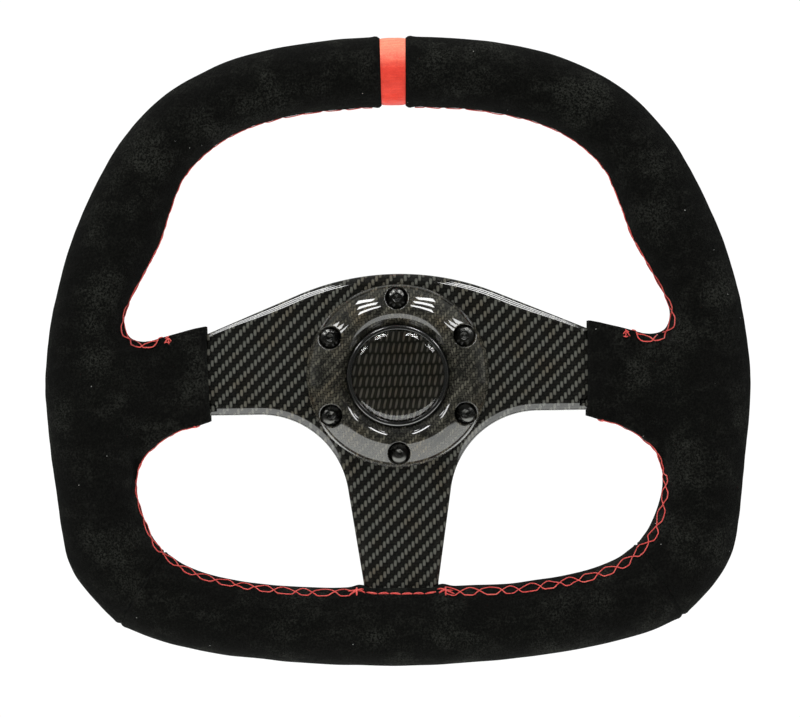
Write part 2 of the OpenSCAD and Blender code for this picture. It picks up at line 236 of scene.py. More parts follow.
@dataclass
class Shell:
    """Points in face-up millimetres, and faces as arrays of point numbers."""

    points: Array
    faces: list[Array]

    def volume(self) -> float:
        """Add up the tetrahedra between the origin and the faces' triangles.

        Returns:
            The volume inside the faces, which is below 0 when they point inwards.
        """
        total = 0.0
        for block in self.faces:
            corner = self.points[block]
            for k in range(1, block.shape[1] - 1):
                across = np.cross(corner[:, k], corner[:, k + 1])
                total += np.einsum("ij,ij->", corner[:, 0], across)
        return total / 6


def grid_shell(grid: Array, close_rows: bool = False, caps: bool = True) -> Shell:
    """A closed skin over a grid whose rows are rings.

    Args:
        grid: Points as (rows, columns, 3).
        close_rows: Whether the rows themselves form a ring, which needs no caps.
        caps: Whether the first and last ring are closed with a face.

    Returns:
        The shell.
    """
    rows, columns = grid.shape[:2]
    faces = [quads(rows, columns, close_rows)]
    if caps and not close_rows:
        faces += [ring_cap(0, columns)[:, ::-1], ring_cap((rows - 1) * columns, columns)]
    return Shell(grid.reshape(-1, 3), faces)


def join(shells: list[Shell]) -> Shell:
    """Make one shell of several, each turned so that its faces point outwards.

    Args:
        shells: The shells.

    Returns:
        The one shell.
    """
    points, faces, start = [], [], 0
    for shell in shells:
        order = slice(None, None, -1) if shell.volume() < 0 else slice(None)
        points.append(shell.points)
        faces += [block[:, order] + start for block in shell.faces]
        start += len(shell.points)
    return Shell(np.concatenate(points), faces)


def make_piece(name: str, shells: list[Shell], finish: "Finish",
               sharp_deg: float = 40.0) -> bpy.types.Object:
    """Put shells into the scene as one piece.

    Args:
        name: The piece's name.
        shells: Its closed skins.
        finish: What it is dressed in.
        sharp_deg: Edges that turn by more than this stay sharp.

    Returns:
        The new object, at the origin.
    """
    shell = join(shells)
    mesh = bpy.data.meshes.new(name)
    mesh.vertices.add(len(shell.points))
    mesh.vertices.foreach_set("co", stand_up(shell.points).astype(np.float32).ravel())
    sizes = np.concatenate([np.full(len(b), b.shape[1], np.int32) for b in shell.faces])
    corners = np.concatenate([b.ravel() for b in shell.faces]).astype(np.int32)
    mesh.loops.add(len(corners))
    mesh.loops.foreach_set("vertex_index", corners)
    mesh.polygons.add(len(sizes))
    starts = np.concatenate([[0], np.cumsum(sizes)[:-1]]).astype(np.int32)
    mesh.polygons.foreach_set("loop_start", starts)
    mesh.polygons.foreach_set("use_smooth", np.ones(len(sizes), bool))
    mesh.update(calc_edges=True)
    mesh.validate()
    mesh.set_sharp_from_angle(angle=math.radians(sharp_deg))
    piece = bpy.data.objects.new(name, mesh)
    bpy.context.scene.collection.objects.link(piece)
    mesh.materials.append(finish.material())
    log.info("%s: %d points, %d faces", name, len(shell.points), len(sizes))
    return piece


def lathe(profile: Array, columns: int = 192) -> Shell:
    """Turn a profile round the axle.

    Args:
        profile: Points (radius, height) in order; ends on the axis are closed there.
        columns: Points round the axle.

    Returns:
        The shell. A profile whose ends are off the axis is taken as a closed loop.
    """
    angle = np.linspace(0, TURN, columns, endpoint=False)
    near_axle = 0.5
    loop = min(profile[0, 0], profile[-1, 0]) > near_axle
    return grid_shell(polar(profile[:, :1], angle, profile[:, 1:]), close_rows=loop)


def tube(path: Array, lift: Array, radius: Array, sides: int = 10, ply: float = 0.0) -> Shell:
    """Carry a round section along a path, as a thread or a wire.

    Args:
        path: Middle line, as (points, 3).
        lift: Direction that the section's first point lies in, for each point.
        radius: Radius at each point.
        sides: Points round the section.
        ply: Length of one turn of a two-ply twist, whose two ridges wind along the path,
            or 0 for a plain wire.

    Returns:
        The shell, rounded off and closed at both ends.
    """
    ends, reach, ridge = np.array([0.02, 0.6, 0.9]), np.array([-1.0, -0.8, -0.4]), 0.1
    along = unit(np.gradient(path, axis=0))
    step = np.linalg.norm(np.diff(path, axis=0, prepend=path[:1]), axis=1).cumsum()
    shares = np.concatenate([ends, np.ones(len(path) - 2), ends[::-1]])
    heads = path[:1] + along[:1] * reach[:, None] * radius[0]
    tails = path[-1:] - along[-1:] * reach[::-1, None] * radius[-1]
    line = np.concatenate([heads, path[1:-1], tails])
    pick = np.concatenate([[0, 0, 0], np.arange(1, len(path) - 1), [len(path) - 1] * 3])
    across = unit(np.cross(along, lift))
    upward = np.cross(across, along)
    around = np.linspace(0, TURN, sides, endpoint=False)
    wide = (radius[pick] * shares)[:, None] * np.ones(sides)
    if ply:
        wide = wide * (1 + ridge * np.cos(2 * (around + TURN / 2 * step[pick][:, None] / ply)))
    grid = (
        line[:, None]
        + (wide * np.cos(around))[..., None] * upward[pick][:, None]
        + (wide * np.sin(around))[..., None] * across[pick][:, None]
    )
    return grid_shell(grid)


# ---------------------------------------------------------------- node helpers

Socket = bpy.types.NodeSocket
Value = float | tuple | Socket
FLOAT, VECTOR, COLOUR = "NodeSocketFloat", "NodeSocketVector", "NodeSocketColor"


class Graph:
    """A node tree that is put together by short calls. A value is a number or a socket."""

    def __init__(self, tree: bpy.types.NodeTree) -> None:
        """Take the tree to work in."""
        self.tree = tree

    def add(self, kind: str, inputs: dict[str | int, Value], **settings: object) -> bpy.types.Node:
        """Add a node.

        Args:
            kind: The node's type, without its ShaderNode prefix.
            inputs: Values for its sockets, by name or number.
            **settings: The node's own properties.

        Returns:
            The node.
        """
        node = self.tree.nodes.new("ShaderNode" + kind)
        for name, value in settings.items():
            setattr(node, name, value)
        for name, value in inputs.items():
            if isinstance(value, Socket):
                self.tree.links.new(value, node.inputs[name])
            else:
                node.inputs[name].default_value = value
        return node

    def math(self, operation: str, *values: Value, clamp: bool = False) -> Socket:
        """Return the result of a Math node."""
        inputs = dict(enumerate(values))
        return self.add("Math", inputs, operation=operation, use_clamp=clamp).outputs[0]

    def vector(self, operation: str, *values: Value) -> Socket:
        """Return the result of a Vector Math node."""
        node = self.add("VectorMath", dict(enumerate(values)), operation=operation)
        return node.outputs[1 if operation in ("LENGTH", "DOT_PRODUCT") else 0]

    def mix(self, factor: Value, a: Value, b: Value, blend: str = "MIX") -> Socket:
        """Return colour a turned into colour b by factor."""
        node = self.add("Mix", {0: factor, 6: a, 7: b}, data_type="RGBA", blend_type=blend)
        return node.outputs[2]

    def choose(self, factor: Value, a: Value, b: Value) -> Socket:
        """Return number a turned into number b by factor."""
        return self.add("Mix", {0: factor, 2: a, 3: b}).outputs[0]

    def span(self, value: Value, low: float, high: float, start: float = 0.0, end: float = 1.0) -> Socket:
        """Return value eased from start, where it is low, to end, where it is high."""
        inputs = {0: value, 1: low, 2: high, 3: start, 4: end}
        return self.add("MapRange", inputs, interpolation_type="SMOOTHSTEP").outputs[0]

    def noise(self, vector: Value, size: float, detail: float = 2.0, rough: float = 0.5) -> Socket:
        """Return cloudy noise of 0 to 1 whose clouds are about size metres wide."""
        inputs = {"Vector": vector, "Scale": 1 / size, "Detail": detail, "Roughness": rough}
        return self.add("TexNoise", inputs).outputs[0]

    def stretched(self, vector: Value, x: float, y: float, z: float) -> Socket:
        """Return coordinates multiplied by x, y and z."""
        return self.vector("MULTIPLY", vector, (x, y, z))

    def place(self) -> Socket:
        """Return the Object coordinates."""
        return self.add("TexCoord", {}).outputs["Object"]

    def bump(self, height: Value, depth: float, strength: float = 1.0) -> Socket:
        """Return the normal of a relief that is depth metres deep."""
        inputs = {"Height": height, "Distance": depth, "Strength": strength}
        return self.add("Bump", inputs).outputs[0]


def group(name: str, inputs: dict[str, tuple[str, Value]], outputs: dict[str, str],
          build: Callable[[Graph, dict[str, Socket]], dict[str, Socket]]) -> bpy.types.NodeTree:
    """Make a node group once, and find it after that.

    Args:
        name: The group's name.
        inputs: Each input's socket type and default.
        outputs: Each output's socket type.
        build: Function that fills the group and gives a socket for each output.

    Returns:
        The group.
    """
    found = bpy.data.node_groups.get(name)
    if found:
        return found
    tree = bpy.data.node_groups.new(name, "ShaderNodeTree")
    for label, (kind, default) in inputs.items():
        socket = tree.interface.new_socket(label, in_out="INPUT", socket_type=kind)
        if kind != VECTOR:
            socket.default_value = default
    for label, kind in outputs.items():
        tree.interface.new_socket(label, in_out="OUTPUT", socket_type=kind)
    graph = Graph(tree)
    start = tree.nodes.new("NodeGroupInput")
    end = tree.nodes.new("NodeGroupOutput")
    results = build(graph, {label: start.outputs[label] for label in inputs})
    for label, socket in results.items():
        tree.links.new(socket, end.inputs[label])
    return tree


def use(graph: Graph, tree: bpy.types.NodeTree, inputs: dict[str, Value]) -> bpy.types.Node:
    """Return a node that holds the group, with its inputs filled."""
    return graph.add("Group", inputs, node_tree=tree)


def weave_group() -> bpy.types.NodeTree:
    """Woven tows, seen from the front.

    The face is cut into cells one tow wide. A cell (i, j) shows the upright tow where
    i - j, counted modulo the repeat, is below the float, and the level tow elsewhere. Each
    float is rounded across and dips at its ends, and fine filaments run along it.

    Returns:
        The group, which gives Upright (1 on upright tows), Height and Filament.
    """

    def build(g: Graph, given: dict[str, Socket]) -> dict[str, Socket]:
        """Fill the group.

        Args:
            g: The group's graph.
            given: The group's inputs.

        Returns:
            A socket for each output.
        """
        part = g.add("SeparateXYZ", {0: given["Vector"]})
        x = g.math("DIVIDE", part.outputs[0], given["Tow Width"])
        z = g.math("DIVIDE", part.outputs[2], given["Tow Height"])
        across_x, across_z = g.math("FRACT", x), g.math("FRACT", z)
        step = g.math("SUBTRACT", g.math("FLOOR", x), g.math("FLOOR", z))
        cell = g.math("FLOORED_MODULO", step, given["Repeat"])
        upright = g.math("LESS_THAN", cell, g.math("SUBTRACT", given["Float"], 0.5))
        left = g.math("SUBTRACT", g.math("SUBTRACT", given["Float"], 1.0), cell)
        up_along = g.math("DIVIDE", g.math("ADD", left, across_z), given["Float"])
        level_run = g.math("SUBTRACT", given["Repeat"], given["Float"])
        level = g.math("ADD", g.math("SUBTRACT", cell, given["Float"]), across_x)
        level_along = g.math("DIVIDE", level, level_run)
        along = g.choose(upright, level_along, up_along)
        across = g.choose(upright, across_z, across_x)
        crown = arched(g, across, 2.2)
        dip = arched(g, along, 2.8)
        height = g.math("MULTIPLY", crown, dip)
        thin = g.stretched(given["Vector"], 1.0, 1.0, 0.06)
        flat = g.stretched(given["Vector"], 0.06, 1.0, 1.0)
        filament = g.choose(upright, g.noise(flat, 0.00016, 3), g.noise(thin, 0.00016, 3))
        return {"Upright": upright, "Height": height, "Filament": filament}

    repeat, passes = Weave.TWILL.value
    inputs = {"Vector": (VECTOR, 0.0), "Tow Width": (FLOAT, 0.0016), "Tow Height": (FLOAT, 0.0016),
              "Repeat": (FLOAT, repeat), "Float": (FLOAT, passes)}
    return group("weave", inputs, {"Upright": FLOAT, "Height": FLOAT, "Filament": FLOAT}, build)


def arched(g: Graph, share: Socket, power: float) -> Socket:
    """Return the root of 1 less the power of the distance from the middle of 0 to 1."""
    off = g.math("ABSOLUTE", g.math("SUBTRACT", g.math("MULTIPLY", share, 2.0), 1.0))
    return g.math("SQRT", g.math("SUBTRACT", 1.0, g.math("MULTIPLY", g.math("POWER", off, power), 0.92)))


def wear_group() -> bpy.types.NodeTree:
    """Edges rubbed bright: where the normal of a small bevel leaves the face's own normal.

    Returns:
        The group, which gives a Mask that noise breaks up.
    """

    def build(g: Graph, given: dict[str, Socket]) -> dict[str, Socket]:
        """Fill the group.

        Args:
            g: The group's graph.
            given: The group's inputs.

        Returns:
            A socket for each output.
        """
        rounded = g.add("Bevel", {"Radius": given["Radius"]}, samples=4).outputs[0]
        own = g.add("NewGeometry", {}).outputs["True Normal"]
        turn = g.math("SUBTRACT", 1.0, g.vector("DOT_PRODUCT", rounded, own))
        patchy = g.noise(g.place(), 0.004, 4, 0.7)
        worn = g.math("MULTIPLY", turn, g.span(patchy, 0.35, 0.65, 0.3, 8.0))
        return {"Mask": g.math("MULTIPLY", worn, given["Amount"], clamp=True)}

    inputs = {"Radius": (FLOAT, 0.0004), "Amount": (FLOAT, 1.0)}
    return group("edge_wear", inputs, {"Mask": FLOAT}, build)


def turning_group() -> bpy.types.NodeTree:
    """Marks of turning: fine rings round the axle, and cloudy patches of handling.

    Returns:
        The group, which gives Ring and Patch, both of 0 to 1.
    """

    def build(g: Graph, given: dict[str, Socket]) -> dict[str, Socket]:
        """Fill the group.

        Args:
            g: The group's graph.
            given: The group's inputs.

        Returns:
            A socket for each output.
        """
        height = g.add("SeparateXYZ", {0: g.place()}).outputs[1]
        radius = g.vector("LENGTH", g.stretched(g.place(), 1.0, 0.0, 1.0))
        travel = g.math("ADD", radius, g.math("MULTIPLY", height, 0.83))
        phase = g.math("DIVIDE", travel, given["Pitch"])
        wave = g.math("SINE", g.math("MULTIPLY", phase, TURN))
        grit = g.noise(g.place(), 0.0006, 3)
        ring = g.math("ADD", g.math("MULTIPLY", wave, 0.35), grit)
        return {"Ring": ring, "Patch": g.noise(g.place(), 0.012, 4, 0.6)}

    inputs = {"Pitch": (FLOAT, 0.0003)}
    return group("turning_marks", inputs, {"Ring": FLOAT, "Patch": FLOAT}, build)


def dust_group() -> bpy.types.NodeTree:
    """Lint and dust: a few specks, one in some cells of a cellular pattern.

    Returns:
        The group, which gives Specks (1 on a speck) and Haze (a faint cloud of 0 to 1).
    """

    def build(g: Graph, given: dict[str, Socket]) -> dict[str, Socket]:
        """Fill the group.

        Args:
            g: The group's graph.
            given: The group's inputs.

        Returns:
            A socket for each output.
        """
        scale = g.math("DIVIDE", 1.0, given["Spacing"])
        cells = g.add("TexVoronoi", {"Vector": g.place(), "Scale": scale})
        near = g.math("LESS_THAN", cells.outputs["Distance"], given["Size"])
        pick = g.add("SeparateColor", {0: cells.outputs["Color"]}).outputs[0]
        chosen = g.math("GREATER_THAN", pick, 0.55)
        haze = g.span(g.noise(g.place(), 0.02, 5, 0.65), 0.35, 0.75)
        return {"Specks": g.math("MULTIPLY", near, chosen), "Haze": haze}

    inputs = {"Spacing": (FLOAT, 0.012), "Size": (FLOAT, 0.02)}
    return group("dust", inputs, {"Specks": FLOAT, "Haze": FLOAT}, build)


# ---------------------------------------------------------------- finishes

Colour = tuple[float, float, float]


def rgba(colour: Colour) -> tuple[float, float, float, float]:
    """Return a colour with full opacity."""
    return (*colour, 1.0)


@dataclass(frozen=True)
class Finish:
    """A finish that a piece is dressed in. Its name is the record's material slot."""

    slot: str

    def material(self) -> bpy.types.Material:
        """Make the material once, and find it after that.

        Returns:
            The material.
        """
        name = "finish_" + self.slot
        found = bpy.data.materials.get(name)
        if found:
            return found
        material = bpy.data.materials.new(name)
        material.use_nodes = True
        tree = material.node_tree
        tree.nodes.clear()
        graph = Graph(tree)
        shader = graph.add("BsdfPrincipled", {})
        output = tree.nodes.new("ShaderNodeOutputMaterial")
        tree.links.new(shader.outputs[0], output.inputs[0])
        for socket, value in self.looks(graph).items():
            if isinstance(value, Socket):
                tree.links.new(value, shader.inputs[socket])
            else:
                shader.inputs[socket].default_value = value
        return material

    def looks(self, g: Graph) -> dict[str, Value]:
        """Return what goes into the shader's sockets."""
        raise NotImplementedError


@dataclass(frozen=True)
class Suede(Finish):
    """Brushed suede: a soft black nap with paler brushed patches and a few bits of lint."""

    deep: Colour = (0.0022, 0.0022, 0.0020)
    pale: Colour = (0.0200, 0.0208, 0.0175)
    lint: Colour = (0.45, 0.45, 0.43)

    def looks(self, g: Graph) -> dict[str, Value]:
        """Make patches of pale nap over deep nap, both fuzzy.

        Args:
            g: The material's graph.

        Returns:
            The shader's values, by socket.
        """
        at = g.place()
        patch = g.noise(at, 0.022, 5, 0.62)
        brushed = g.noise(g.stretched(at, 0.45, 1.0, 1.0), 0.006, 4, 0.6)
        nap = g.noise(at, 0.0009, 5, 0.8)
        fibre = g.noise(at, 0.0003, 3, 0.7)
        lay = g.math("ADD", g.span(patch, 0.46, 0.74), g.math("MULTIPLY", g.span(brushed, 0.45, 0.75), 0.4))
        lay = g.math("MULTIPLY", g.math("ADD", lay, 0.16), g.span(nap, 0.42, 0.64, 0.0, 2.0))
        colour = g.mix(g.math("MULTIPLY", lay, 0.6, clamp=True), rgba(self.deep), rgba(self.pale))
        dust = use(g, dust_group(), {"Spacing": 0.0065, "Size": 0.028})
        colour = g.mix(dust.outputs["Specks"], colour, rgba(self.lint))
        height = g.math("ADD", g.math("MULTIPLY", nap, 0.6), g.math("MULTIPLY", fibre, 0.5))
        return {
            "Base Color": colour, "Roughness": g.span(nap, 0.2, 0.8, 0.85, 1.0),
            "Specular IOR Level": 0.015, "Sheen Weight": 0.012, "Sheen Roughness": 0.5,
            "Sheen Tint": (0.8, 0.85, 0.8, 1.0), "Normal": g.bump(height, 0.0009),
        }


@dataclass(frozen=True)
class Leather(Finish):
    """Smooth dyed leather whose dye pales towards the top as a painted highlight, with fine pebbles and
    creases across it.
    """

    dye: Colour = (0.60, 0.034, 0.015)
    deep: Colour = (0.36, 0.014, 0.008)
    bright: Colour = (0.70, 0.050, 0.026)
    # The next two fields paint a highlight: a paler dye over the top of the band, between two heights in
    # metres.
    faded_and_sheen: Colour = (0.78, 0.21, 0.125)
    fade_and_sheen: tuple[float, float] = (0.1385, 0.149)

    def looks(self, g: Graph) -> dict[str, Value]:
        """Make cells of grain, with dye gathered in their creases.

        Args:
            g: The material's graph.

        Returns:
            The shader's values, by socket.
        """
        at = g.place()
        cells = g.add("TexVoronoi", {"Vector": at, "Scale": 1400.0}, feature="DISTANCE_TO_EDGE")
        pebble = g.span(cells.outputs["Distance"], 0.0, 0.28)
        crease = g.span(g.noise(g.stretched(at, 0.12, 1.0, 1.0), 0.0011, 3, 0.6), 0.45, 0.62)
        cloud = g.noise(at, 0.005, 3)
        body = g.mix(g.span(cloud, 0.3, 0.7), rgba(self.dye), rgba(self.bright))
        ragged = g.vector("ADD", at, g.stretched(g.noise(at, 0.0015, 2), 0, 0, 0.003))
        top = g.add("SeparateXYZ", {0: ragged}).outputs[2]
        # Painted highlight: the dye pales over the top of the band, standing in for the sheen of the lamps
        # above.
        body = g.mix(g.span(top, *self.fade_and_sheen), body, rgba(self.faded_and_sheen))
        colour = g.mix(g.choose(pebble, 0.35, 0.0), body, rgba(self.deep))
        colour = g.mix(g.choose(crease, 0.22, 0.0), colour, rgba(self.deep))
        height = g.math("ADD", g.math("MULTIPLY", pebble, 0.2), crease)
        return {
            "Base Color": colour, "Roughness": g.span(cloud, 0.2, 0.8, 0.38, 0.48),
            "Normal": g.bump(height, 0.00005), "Specular IOR Level": 0.22,
        }


@dataclass(frozen=True)
class Thread(Finish):
    """Waxed thread, whose filaments show as fine flecks."""

    dye: Colour = (0.60, 0.045, 0.034)
    deep: Colour = (0.34, 0.016, 0.013)
    faded_and_sheen: Colour = (0.75, 0.16, 0.11)

    def looks(self, g: Graph) -> dict[str, Value]:
        """Make flecks of a deeper and a paler red.

        Args:
            g: The material's graph.

        Returns:
            The shader's values, by socket.
        """
        at = g.place()
        fleck = g.noise(at, 0.00018, 3, 0.7)
        fade_and_sheen = g.noise(at, 0.006, 2)
        colour = g.mix(g.span(fleck, 0.3, 0.7), rgba(self.deep), rgba(self.dye))
        colour = g.mix(g.span(fade_and_sheen, 0.4, 0.8, 0.0, 0.35), colour, rgba(self.faded_and_sheen))
        return {
            "Base Color": colour, "Roughness": g.span(fleck, 0.2, 0.8, 0.45, 0.7),
            "Sheen Weight": 0.25, "Sheen Roughness": 0.4, "Normal": g.bump(fleck, 0.00008),
        }


@dataclass(frozen=True)
class Carbon(Finish):
    """Woven carbon fibre under a thick polished clear coat.

    The tows that stand upright carry a painted reflection, a bright colour for the light
    that they catch, and the level ones stay darker by the share in level. The resin is warm
    in patches, and mottle darkens others. Smear pushes the tows about, and slant leans them.
    """

    # Painted reflection: bright is the colour of upright tows, standing in for their sheen; dark is that of
    # the level tows.
    bright: Colour = (0.086, 0.087, 0.074)
    dark: Colour = (0.0020, 0.0020, 0.0015)
    warm: Colour = (1.0, 0.80, 0.58)
    shadow: Colour = (0.005, 0.005, 0.004)
    tow: tuple[float, float] = (0.00163, 0.00170)
    weave: Weave = Weave.TWILL
    smear: float = 0.0
    slant: float = 0.0
    level: float = 0.06
    coat: float = 1.0
    mottle: float = 0.0

    def looks(self, g: Graph) -> dict[str, Value]:
        """Make the weave's colour, its relief and the coat.

        Args:
            g: The material's graph.

        Returns:
            The shader's values, by socket.
        """
        at = g.place()
        if self.smear:
            wobble = g.noise(at, 0.006, 2)
            push = g.math("MULTIPLY", g.math("SUBTRACT", wobble, 0.5), self.smear)
            at = g.vector("ADD", at, g.add("CombineXYZ", {0: push, 2: push}).outputs[0])
        if self.slant:
            up = g.add("SeparateXYZ", {0: at}).outputs[2]
            lean = g.math("MULTIPLY", up, -self.slant)
            at = g.vector("ADD", at, g.add("CombineXYZ", {0: lean}).outputs[0])
        repeat, passes = self.weave.value
        cloth = use(g, weave_group(), {"Vector": at, "Tow Width": self.tow[0], "Tow Height": self.tow[1],
                                       "Repeat": repeat, "Float": passes})
        upright, height = cloth.outputs["Upright"], cloth.outputs["Height"]
        grain = g.span(cloth.outputs["Filament"], 0.3, 0.7, 0.72, 1.15)
        level = g.span(height, 0.35, 1.0, 0.0, self.level)
        # Painted reflection: upright tows take the bright colour in place of the sheen that they catch.
        share = g.choose(upright, level, g.span(height, 0.35, 1.05))
        lit = g.math("MULTIPLY", share, grain)
        colour = g.mix(lit, rgba(self.dark), rgba(self.bright))
        resin = g.span(g.noise(g.place(), 0.012, 3), 0.45, 0.72, 0.0, 0.55)
        colour = g.mix(resin, colour, rgba(self.warm), blend="MULTIPLY")
        if self.mottle:
            cloud = g.noise(g.place(), 0.006, 5, 0.7)
            clear = g.span(cloud, 0.38, 0.58, 1 - self.mottle, 1.0)
            colour = g.mix(clear, rgba(self.shadow), colour)
        return {
            "Base Color": colour, "Roughness": g.choose(upright, 0.34, 0.46),
            "Specular IOR Level": 0.05, "Normal": g.bump(height, 0.00004, 0.5),
            "Coat Weight": self.coat, "Coat Roughness": 0.025, "Coat IOR": 1.55,
        }


@dataclass(frozen=True)
class Machined(Finish):
    """Turned metal, bare or anodised, with turning marks and bright rubbed edges."""

    colour: Colour = (0.5, 0.5, 0.5)
    worn: Colour = (0.62, 0.62, 0.62)
    metallic: float = 1.0
    roughness: float = 0.35
    pitch: float = 0.0003
    wear: float = 0.5
    relief: float = 0.000012

    def looks(self, g: Graph) -> dict[str, Value]:
        """Make rings in the relief, patches in the roughness.

        Args:
            g: The material's graph.

        Returns:
            The shader's values, by socket.
        """
        marks = use(g, turning_group(), {"Pitch": self.pitch})
        edge = use(g, wear_group(), {"Amount": self.wear})
        patch = marks.outputs["Patch"]
        shade = g.mix(g.span(patch, 0.3, 0.7, 0.0, 0.35), rgba(self.colour),
                      rgba(tuple(0.6 * part for part in self.colour)))
        return {
            "Base Color": g.mix(edge.outputs["Mask"], shade, rgba(self.worn)),
            "Metallic": self.metallic,
            "Roughness": g.span(patch, 0.25, 0.75, self.roughness * 0.8, self.roughness * 1.3),
            "Normal": g.bump(marks.outputs["Ring"], self.relief),
        }


@dataclass(frozen=True)
class Moulded(Finish):
    """Moulded plastic, rubber or foam with a fine pitted grain and a little dust."""

    colour: Colour = (0.02, 0.02, 0.02)
    roughness: float = 0.5
    grain: float = 0.0004
    depth: float = 0.00005
    coat: float = 0.0

    def looks(self, g: Graph) -> dict[str, Value]:
        """Make pits in the relief and haze in the colour.

        Args:
            g: The material's graph.

        Returns:
            The shader's values, by socket.
        """
        at = g.place()
        pits = g.noise(at, self.grain, 3, 0.6)
        dust = use(g, dust_group(), {})
        pale = tuple(min(1.0, 1.7 * part + 0.01) for part in self.colour)
        haze = g.math("MULTIPLY", dust.outputs["Haze"], g.span(pits, 0.3, 0.7, 0.2, 0.6))
        return {
            "Base Color": g.mix(haze, rgba(self.colour), rgba(pale)),
            "Roughness": g.span(pits, 0.2, 0.8, self.roughness * 0.85, min(1.0, self.roughness * 1.2)),
            "Normal": g.bump(pits, self.depth), "Coat Weight": self.coat, "Coat Roughness": 0.04,
        }


@dataclass(frozen=True)
class Resin(Finish):
    """Clear poured resin with a trace of fine scratches."""

    def looks(self, g: Graph) -> dict[str, Value]:
        """Make scratches in the roughness only.

        Args:
            g: The material's graph.

        Returns:
            The shader's values, by socket.
        """
        scratch = g.noise(g.stretched(g.place(), 1.0, 1.0, 0.05), 0.0004, 4, 0.7)
        return {
            "Base Color": (0.97, 0.97, 0.96, 1.0), "Transmission Weight": 1.0, "IOR": 1.58,
            "Roughness": g.span(scratch, 0.6, 0.85, 0.0, 0.004),
        }


SUEDE = Suede("suede")
LEATHER = Leather("red_leather")
THREAD = Thread("red_thread")
# All three carbon finishes paint the reflection of their upright tows into the bright colour.
CARBON = Carbon("carbon")
CARBON_RING = Carbon("carbon_moulded", bright=(0.082, 0.078, 0.060), dark=(0.012, 0.0115, 0.0085),
                     tow=(0.0012, 0.00125), smear=0.003, level=0.3, mottle=0.85)
CARBON_EMBLEM = Carbon("emblem_weave", bright=(0.165, 0.150, 0.122), dark=(0.016, 0.015, 0.011),
                       tow=(0.00128, 0.0050), weave=Weave.PLAIN, slant=0.22, coat=0.0, smear=0.0009)
GLOSS_BLACK = Moulded("gloss_black", colour=(0.006, 0.006, 0.0054), roughness=0.16, depth=0.000008, coat=1.0)
BLACK_PLASTIC = Moulded("black_plastic", colour=(0.016, 0.016, 0.016), roughness=0.5)
RUBBER = Moulded("rubber", colour=(0.014, 0.014, 0.014), roughness=0.8, grain=0.0007, depth=0.0001)
NYLON = Moulded("ivory_nylon", colour=(0.66, 0.61, 0.50), roughness=0.42, grain=0.0006)
FOAM = Moulded("foam", colour=(0.03, 0.03, 0.032), roughness=0.9, grain=0.0009, depth=0.0003)
CLEAR = Resin("clear_resin")
BLACK_ANODISED = Machined("black_anodised", colour=(0.022, 0.022, 0.024), worn=(0.45, 0.45, 0.46), wear=0.35)
RED_ANODISED = Machined("red_anodised", colour=(0.42, 0.012, 0.016), worn=(0.75, 0.42, 0.40), roughness=0.28,
                        wear=0.12, relief=0.000006)
BRIGHT_STEEL = Machined("bright_steel", colour=(0.56, 0.56, 0.57), roughness=0.2, wear=0.1)
BLACK_STEEL = Machined("black_steel", colour=(0.085, 0.085, 0.081), worn=(0.30, 0.30, 0.29),
                       roughness=0.25, pitch=0.00022, wear=0.04, relief=0.0000008)
ALUMINIUM = Machined("aluminium", colour=(0.66, 0.67, 0.68), roughness=0.38, wear=0.1)
BRASS = Machined("brass", colour=(0.78, 0.55, 0.24), worn=(0.90, 0.75, 0.45), roughness=0.24, wear=0.2)
FINISHES = {f.slot: f for f in (SUEDE, LEATHER, THREAD, CARBON, CARBON_RING, GLOSS_BLACK, BLACK_PLASTIC,
                                RUBBER, NYLON, FOAM, CLEAR, BLACK_ANODISED, RED_ANODISED, BRIGHT_STEEL,
                                BLACK_STEEL, ALUMINIUM, BRASS)}


def fit(piece: bpy.types.Object, body: str, node: str) -> bpy.types.Object:
    """Hang a finished piece on a body in place of a CAD node.

    Args:
        piece: The piece.
        body: Name of the body that it moves with.
        node: Name of the CAD node that it stands for.

    Returns:
        The piece.
    """
    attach(piece, body)
    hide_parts(node)
    return piece


# ---------------------------------------------------------------- rim

# Edge of the rim on the right half, from the top centre to the bottom centre. Each row is
# a section: outer x, outer y, inner x, inner y. Rows 11 to 22 fan out round the cuff.
EDGE_HALF = np.array([
    [0, 154, 0, 122], [34, 152, 31, 120.7], [62, 147.5, 52, 117.5], [86, 139, 72, 111],
    [106, 127, 86, 102], [122, 110.5, 96, 91], [134, 92, 102, 77], [143, 73, 107, 62],
    [150.5, 53, 115, 47], [155.5, 34, 121.5, 35], [158, 20, 123.8, 26], [159.2, 10, 121, 19],
    [159.7, 4.5, 113, 17.3], [159.9, 2, 103, 19.8], [160, 0, 91, 22.9], [160, -1, 86.2, 23.7],
    [160, -2.5, 85.6, 2], [160, -4, 85, -19.6], [160, -5, 90, -21.2], [159.9, -8, 100, -24],
    [159.6, -13, 110, -29.8], [159, -22, 117, -37.5], [157.8, -33, 119.4, -47],
    [155.7, -50, 118.6, -56], [153.6, -68, 116, -64], [150.5, -82.5, 113.3, -70],
    [142.5, -96, 110.7, -74], [127.5, -110.5, 107, -78], [110, -118.5, 97, -85],
    [84, -124.8, 79, -91], [50, -129.2, 50, -95], [22, -131.2, 22, -95.9],
    [0, -131.7, 0, -96]], float)
BOTTOM = len(EDGE_HALF) - 1
AROUND = 2 * BOTTOM
FLIP = np.array([-1.0, 1.0, -1.0, 1.0])
SEAM_ROW = 27.0
CUFF_ROWS = (14.0, 15.0, 17.0, 18.0)
CUFF_MIDDLE = 16.0
SLANT_ROWS = (10.4, 14.2)
CUFF_KNOT = (103.4, 18.6)

